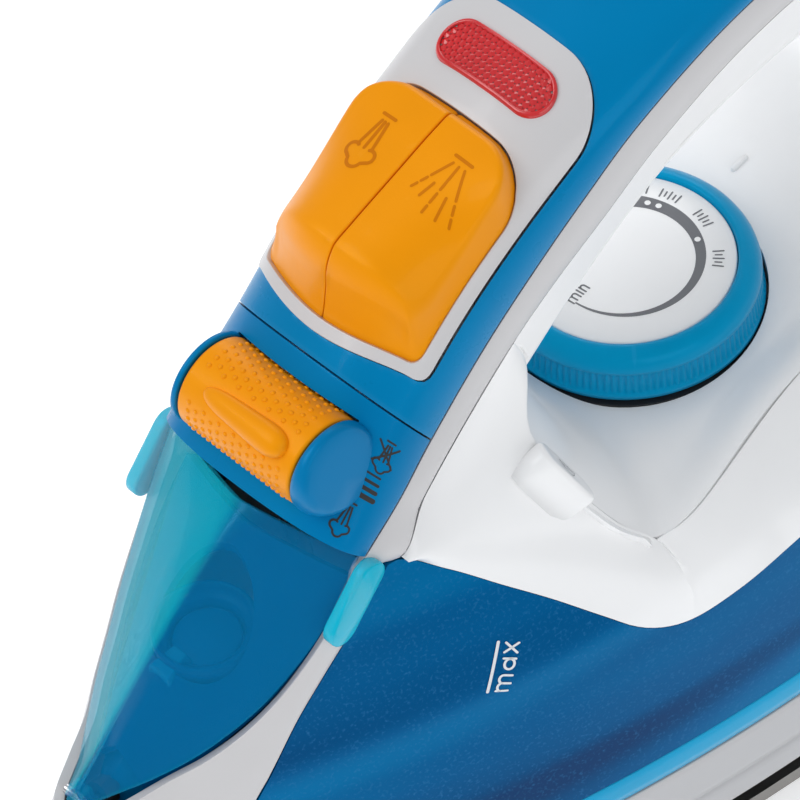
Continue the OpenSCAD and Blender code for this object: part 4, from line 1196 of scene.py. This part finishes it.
def make_neck():
    """The filler mouth: two stepped rings, a funnel, and the lifting flap that closes it."""
    profile = [(9.2, 81.8), (9.2, 84.0), (8.95, 84.4), (8.5, 84.5), (8.2, 84.2), (8.1, 83.2), (7.4, 82.6),
               (6.9, 82.5), (6.6, 82.2), (6.4, 80), (6.4, 62), (7.6, 61), (7.6, 80.5)]
    neck = revolve("filler_neck_rings", profile, 112, axis_frame((FILLER[0], 0, 0)))
    fix_normals(neck)
    dress(neck, "bed_blue", nodes=["filler_neck"])
    levels = [(79.6, 0.9, 0.9), (79.9, 1, 1), (80.8, 1, 1), (81.1, 0.93, 0.93)]
    flap = pad("filler_flap", dense(stadium(0.01, 5.9, 30), 80), levels, axis_frame((FILLER[0], 0, 0)))
    dress(flap, "panel_blue")
    wedge = [(-3.4, -2.7), (3.0, -1.7), (3.0, 1.7), (-3.4, 2.7)]
    levels = [(81.0, 1, 1), (83.6, 0.86, 0.86), (83.9, 0.78, 0.78)]
    grip = pad("filler_flap_grip", wedge, levels, axis_frame((FILLER[0] + 0.6, 0, 0), (0, -6, 0)))
    soften(grip, 0.3)
    dress(grip, "cyan_band")
    boss = [(2.6, 79.5), (2.6, 81.3), (2.3, 81.6), (1.7, 81.6), (1.4, 81.3), (1.4, 79.5)]
    small = revolve("filler_bed_boss", boss, 48, axis_frame((FILLER[0] - 11.6, -1.8, -4.2)))
    fix_normals(small)
    dress(small, "bed_blue")


make_cap()
make_ears()
make_bed()
make_neck()


# ---------- temperature dial
def make_dial():
    n = 720
    ribs = 120
    radius_foot = DIAL_R
    profile = [(20.0, -9.5, 0), (radius_foot, -9.5, 0), (radius_foot, -8.6, 0), (23.5, -8.2, 0),
               (23.45, -7.9, 1), (23.3, -6.0, 1), (23.1, -4.4, 1), (23.0, -4.1, 0), (23.2, -3.8, 0),
               (23.3, -3.3, 0), (23.1, -2.4, 0), (22.6, -1.4, 0), (21.9, -0.7, 0), (20.9, -0.2, 0),
               (20.2, 0, 0), (19.6, -0.05, 0), (19.3, -0.3, 0), (19.25, -2.4, 0), (17.0, -2.6, 0),
               (17.0, -9.5, 0)]
    grid = []
    for i in range(n):
        t = 2 * math.pi * i / n
        wave = 0.5 + 0.5 * math.cos(ribs * t)
        row = []
        for r, z, ribbed in profile:
            rr = r - (0.42 * (1 - wave) if ribbed else 0)
            row.append((rr * math.cos(t), rr * math.sin(t), z))
        grid.append(row)
    ring_obj = grid_object("dial_ring_moulding", grid, wrap_i=True, wrap_j=True)
    ring_obj.data.transform(DIAL_FRAME)
    fix_normals(ring_obj)
    dress(ring_obj, "dial_blue", "dial", ["dial_ring"])
    face = revolve("dial_face_disc", [(0.001, -2.0), (19.0, -2.0), (19.1, -1.2), (19.05, -0.75),
                                      (18.8, -0.5), (12, -0.3),
                                      (0.001, -0.2)], 120, DIAL_FRAME)
    fix_normals(face)
    dress(face, "white_plastic", "dial", ["dial_face"])


def dial_place(u, v, height):
    rise = -0.2 - 0.3 * (math.hypot(u, v) / 18.8) ** 2
    p = DIAL_FRAME @ Vector((u * MM, v * MM, (rise + height) * MM))
    return np.array([c / MM for c in p])


def letters(word, height):
    """Plain rounded strokes for lower-case m, i, n, a and x; returns strokes and their total length."""
    w = 0.2 * height
    strokes, at = [], 0.0
    for c in word:
        if c in "mn":
            arches = 2 if c == "m" else 1
            strokes.append((line2((at, 0), (at, height)), w))
            for _ in range(arches):
                bend = arc2(at + 0.3 * height, 0.65 * height, 0.3 * height, 180, 0)
                strokes.append((bend + [(at + 0.6 * height, 0.3 * height), (at + 0.6 * height, 0)], w))
                at += 0.6 * height
        elif c == "i":
            strokes.append((line2((at, 0), (at, height)), w))
            strokes.append((line2((at, 1.32 * height), (at, 1.36 * height), 2), w * 1.1))
        elif c == "a":
            strokes.append((arc2(at + 0.38 * height, 0.42 * height, 0.38 * height, 0, 360, 28), w))
            strokes.append((line2((at + 0.78 * height, height * 0.95), (at + 0.78 * height, 0)), w))
            at += 0.78 * height
        elif c == "x":
            strokes.append((line2((at, 0), (at + 0.7 * height, height)), w))
            strokes.append((line2((at, height), (at + 0.7 * height, 0)), w))
            at += 0.7 * height
        at += 0.45 * height
    return strokes, at - 0.45 * height


def turned(strokes, angle, x, y):
    c, q = math.cos(math.radians(angle)), math.sin(math.radians(angle))
    return [([(x + c * u - q * v, y + q * u + c * v) for u, v in line], width) for line, width in strokes]


HEAT_R = 12.9


def make_dial_marks():
    """A grey arc that thickens with the heat, dots for the ranges and a plain minimum mark."""
    inner, outer = [], []
    steps = 90
    for i in range(steps + 1):
        t = i / steps
        angle = math.radians(mix(-176, 62, t))
        half = mix(0.15, 1.5, t)
        inner.append(((HEAT_R - half) * math.cos(angle), (HEAT_R - half) * math.sin(angle)))
        outer.append(((HEAT_R + half) * math.cos(angle), (HEAT_R + half) * math.sin(angle)))
    pts = [dial_place(u, v, 0.05) for u, v in inner + outer]
    cells = [[i, steps + 1 + i, steps + 2 + i, i + 1] for i in range(steps)]
    arc_mark = join_parts("dial_heat_arc", [(pts, cells)])
    dress(arc_mark, "mark_grey", "dial")
    places = [math.radians(angle + (k - (count - 1) / 2) * 9) for angle, count in ((-29, 1), (22, 2), (58, 3))
              for k in range(count)]
    spots = [(HEAT_R * math.cos(a), HEAT_R * math.sin(a)) for a in places]
    dots = [(arc2(x, y, 0.72, 0, 360, 24), 0.34) for x, y in spots]
    dress(marks("dial_range_rings", dots, dial_place, 0.1), "mark_grey", "dial")
    centres = [([(x + e, y) for e in (-0.03, 0.03)], 1.1) for x, y in spots]
    dress(marks("dial_range_centres", centres, dial_place, 0.08), "white_plastic", "dial")
    word, length = letters("min", 1.55)
    dress(marks("dial_min", turned(word, 6, -9.0 - length, -0.9), dial_place, 0.06), "mark_grey", "dial")
    ticks = []
    for angle in (-48, -13, 15, 36):
        for k in (-6, -3, 0, 3, 6):
            a = math.radians(angle + k)
            high = 0.55 if k % 2 else 0.9
            ticks.append(([((15.9 + e) * math.cos(a), (15.9 + e) * math.sin(a)) for e in (-high, high)], 0.3))
    dress(marks("dial_range_ticks", ticks, dial_place, 0.06), "mark_grey", "dial")


def make_pointer():
    levels = [(-1.0, 1, 1), (0.35, 1, 1), (0.6, 0.92, 0.7)]
    pointer = pad("dial_pointer", stadium(1.5, 0.45), levels, axis_frame((54.4, 4.1, 72.7)))
    dress(pointer, "white_plastic")


make_dial()
make_dial_marks()
make_pointer()


# ---------- tank level mark
def tank_place(u, v, height):
    """Local marks on the tank's left wall, reading upwards: u along the word, v towards the level line."""
    x = -46.25 + 0.52 * u - 0.854 * v
    z = 65.0 + 0.854 * u + 0.52 * v
    return np.array([x, -half_w(x, z) - height, z])


def make_level_mark():
    word, length = letters("max", 2.1)
    stretch = 9.3 / length
    strokes = [([(u * stretch, v) for u, v in line], w) for line, w in word]
    strokes.append((line2((-0.2, 3.4), (9.4, 3.4), 14), 0.5))
    dress(marks("tank_level_mark", strokes, tank_place, 0.12), "mark_white")


make_level_mark()


# ---------- self-clean button on the pillar
CLEAN_FRAME = axis_frame((-22.6, -30.3, 94.3), (-25.3, 63.6, -47.7))


def make_self_clean():
    levels = [(-5, 1, 1), (1.2, 1, 1), (1.75, 0.98, 0.95), (2.05, 0.94, 0.84), (2.15, 0.86, 0.7),
              (2.0, 0.5, 0.35)]
    button = pad("self_clean_key", stadium(5.0, 2.9, 20), levels, CLEAN_FRAME)
    dress(button, "white_plastic", "self_clean", ["self_clean_button"])
    guide = pad("self_clean_sleeve", stadium(1.0, 2.4), [(-11, 1, 1), (-8.4, 1, 1)], CLEAN_FRAME)
    dress(guide, "dark_plastic", nodes=["self_clean_guide"])

    def place(u, v, height):
        p = CLEAN_FRAME @ Vector((u * MM, v * MM, (2.1 + height) * MM))
        return np.array([c / MM for c in p])

    strokes = [(arc2(0, 0.6, 1.7, 200, 340), 0.18), (line2((-2.4, 0.9), (2.4, 0.9)), 0.2),
               (line2((-2.0, 0.3), (1.8, 0.3)), 0.16), (line2((-2.4, 0.9), (-1.6, -0.4)), 0.18)]
    dress(marks("self_clean_mark", strokes, place, 0.06), "mark_grey", "self_clean")


make_self_clean()


# ---------- CAD pieces that stay, with their materials
KEPT = {
    "sole_metal": ["soleplate"], "cast_metal": ["heater_casting", "chamber_cover"],
    "seal": ["chamber_gasket"],
    "steel": ["heating_element", "valve_needle", "cap_pin", "steam_spring", "spray_spring", "dial_shaft",
              "self_clean_spring", "cover_screws"],
    "brass": ["valve_seat"], "natural": ["tank_floor", "tank_lid", "steam_pump",
                                         "spray_pump", "terminal_block", "indicator_lamp"],
    "dark_plastic": ["roller_cradle", "dial_bracket", "gland_collar", "cord_gland", "spray_nozzle"],
    "ceramic": ["thermostat_body"], "rubber": ["heel_feet"], "grey_plastic": ["rear_cover"],
    "cap_clear": ["cap_knuckle"],
}


def dress_kept():
    for mat, names in KEPT.items():
        for name in names:
            obj = bpy.data.objects[name]
            obj.data.materials.clear()
            obj.data.materials.append(MATERIALS[mat])
            if name in ("soleplate", "rear_cover", "gland_collar", "cord_gland", "heel_feet", "cover_screws"):
                soften(obj, 0.35, 2)


dress_kept()
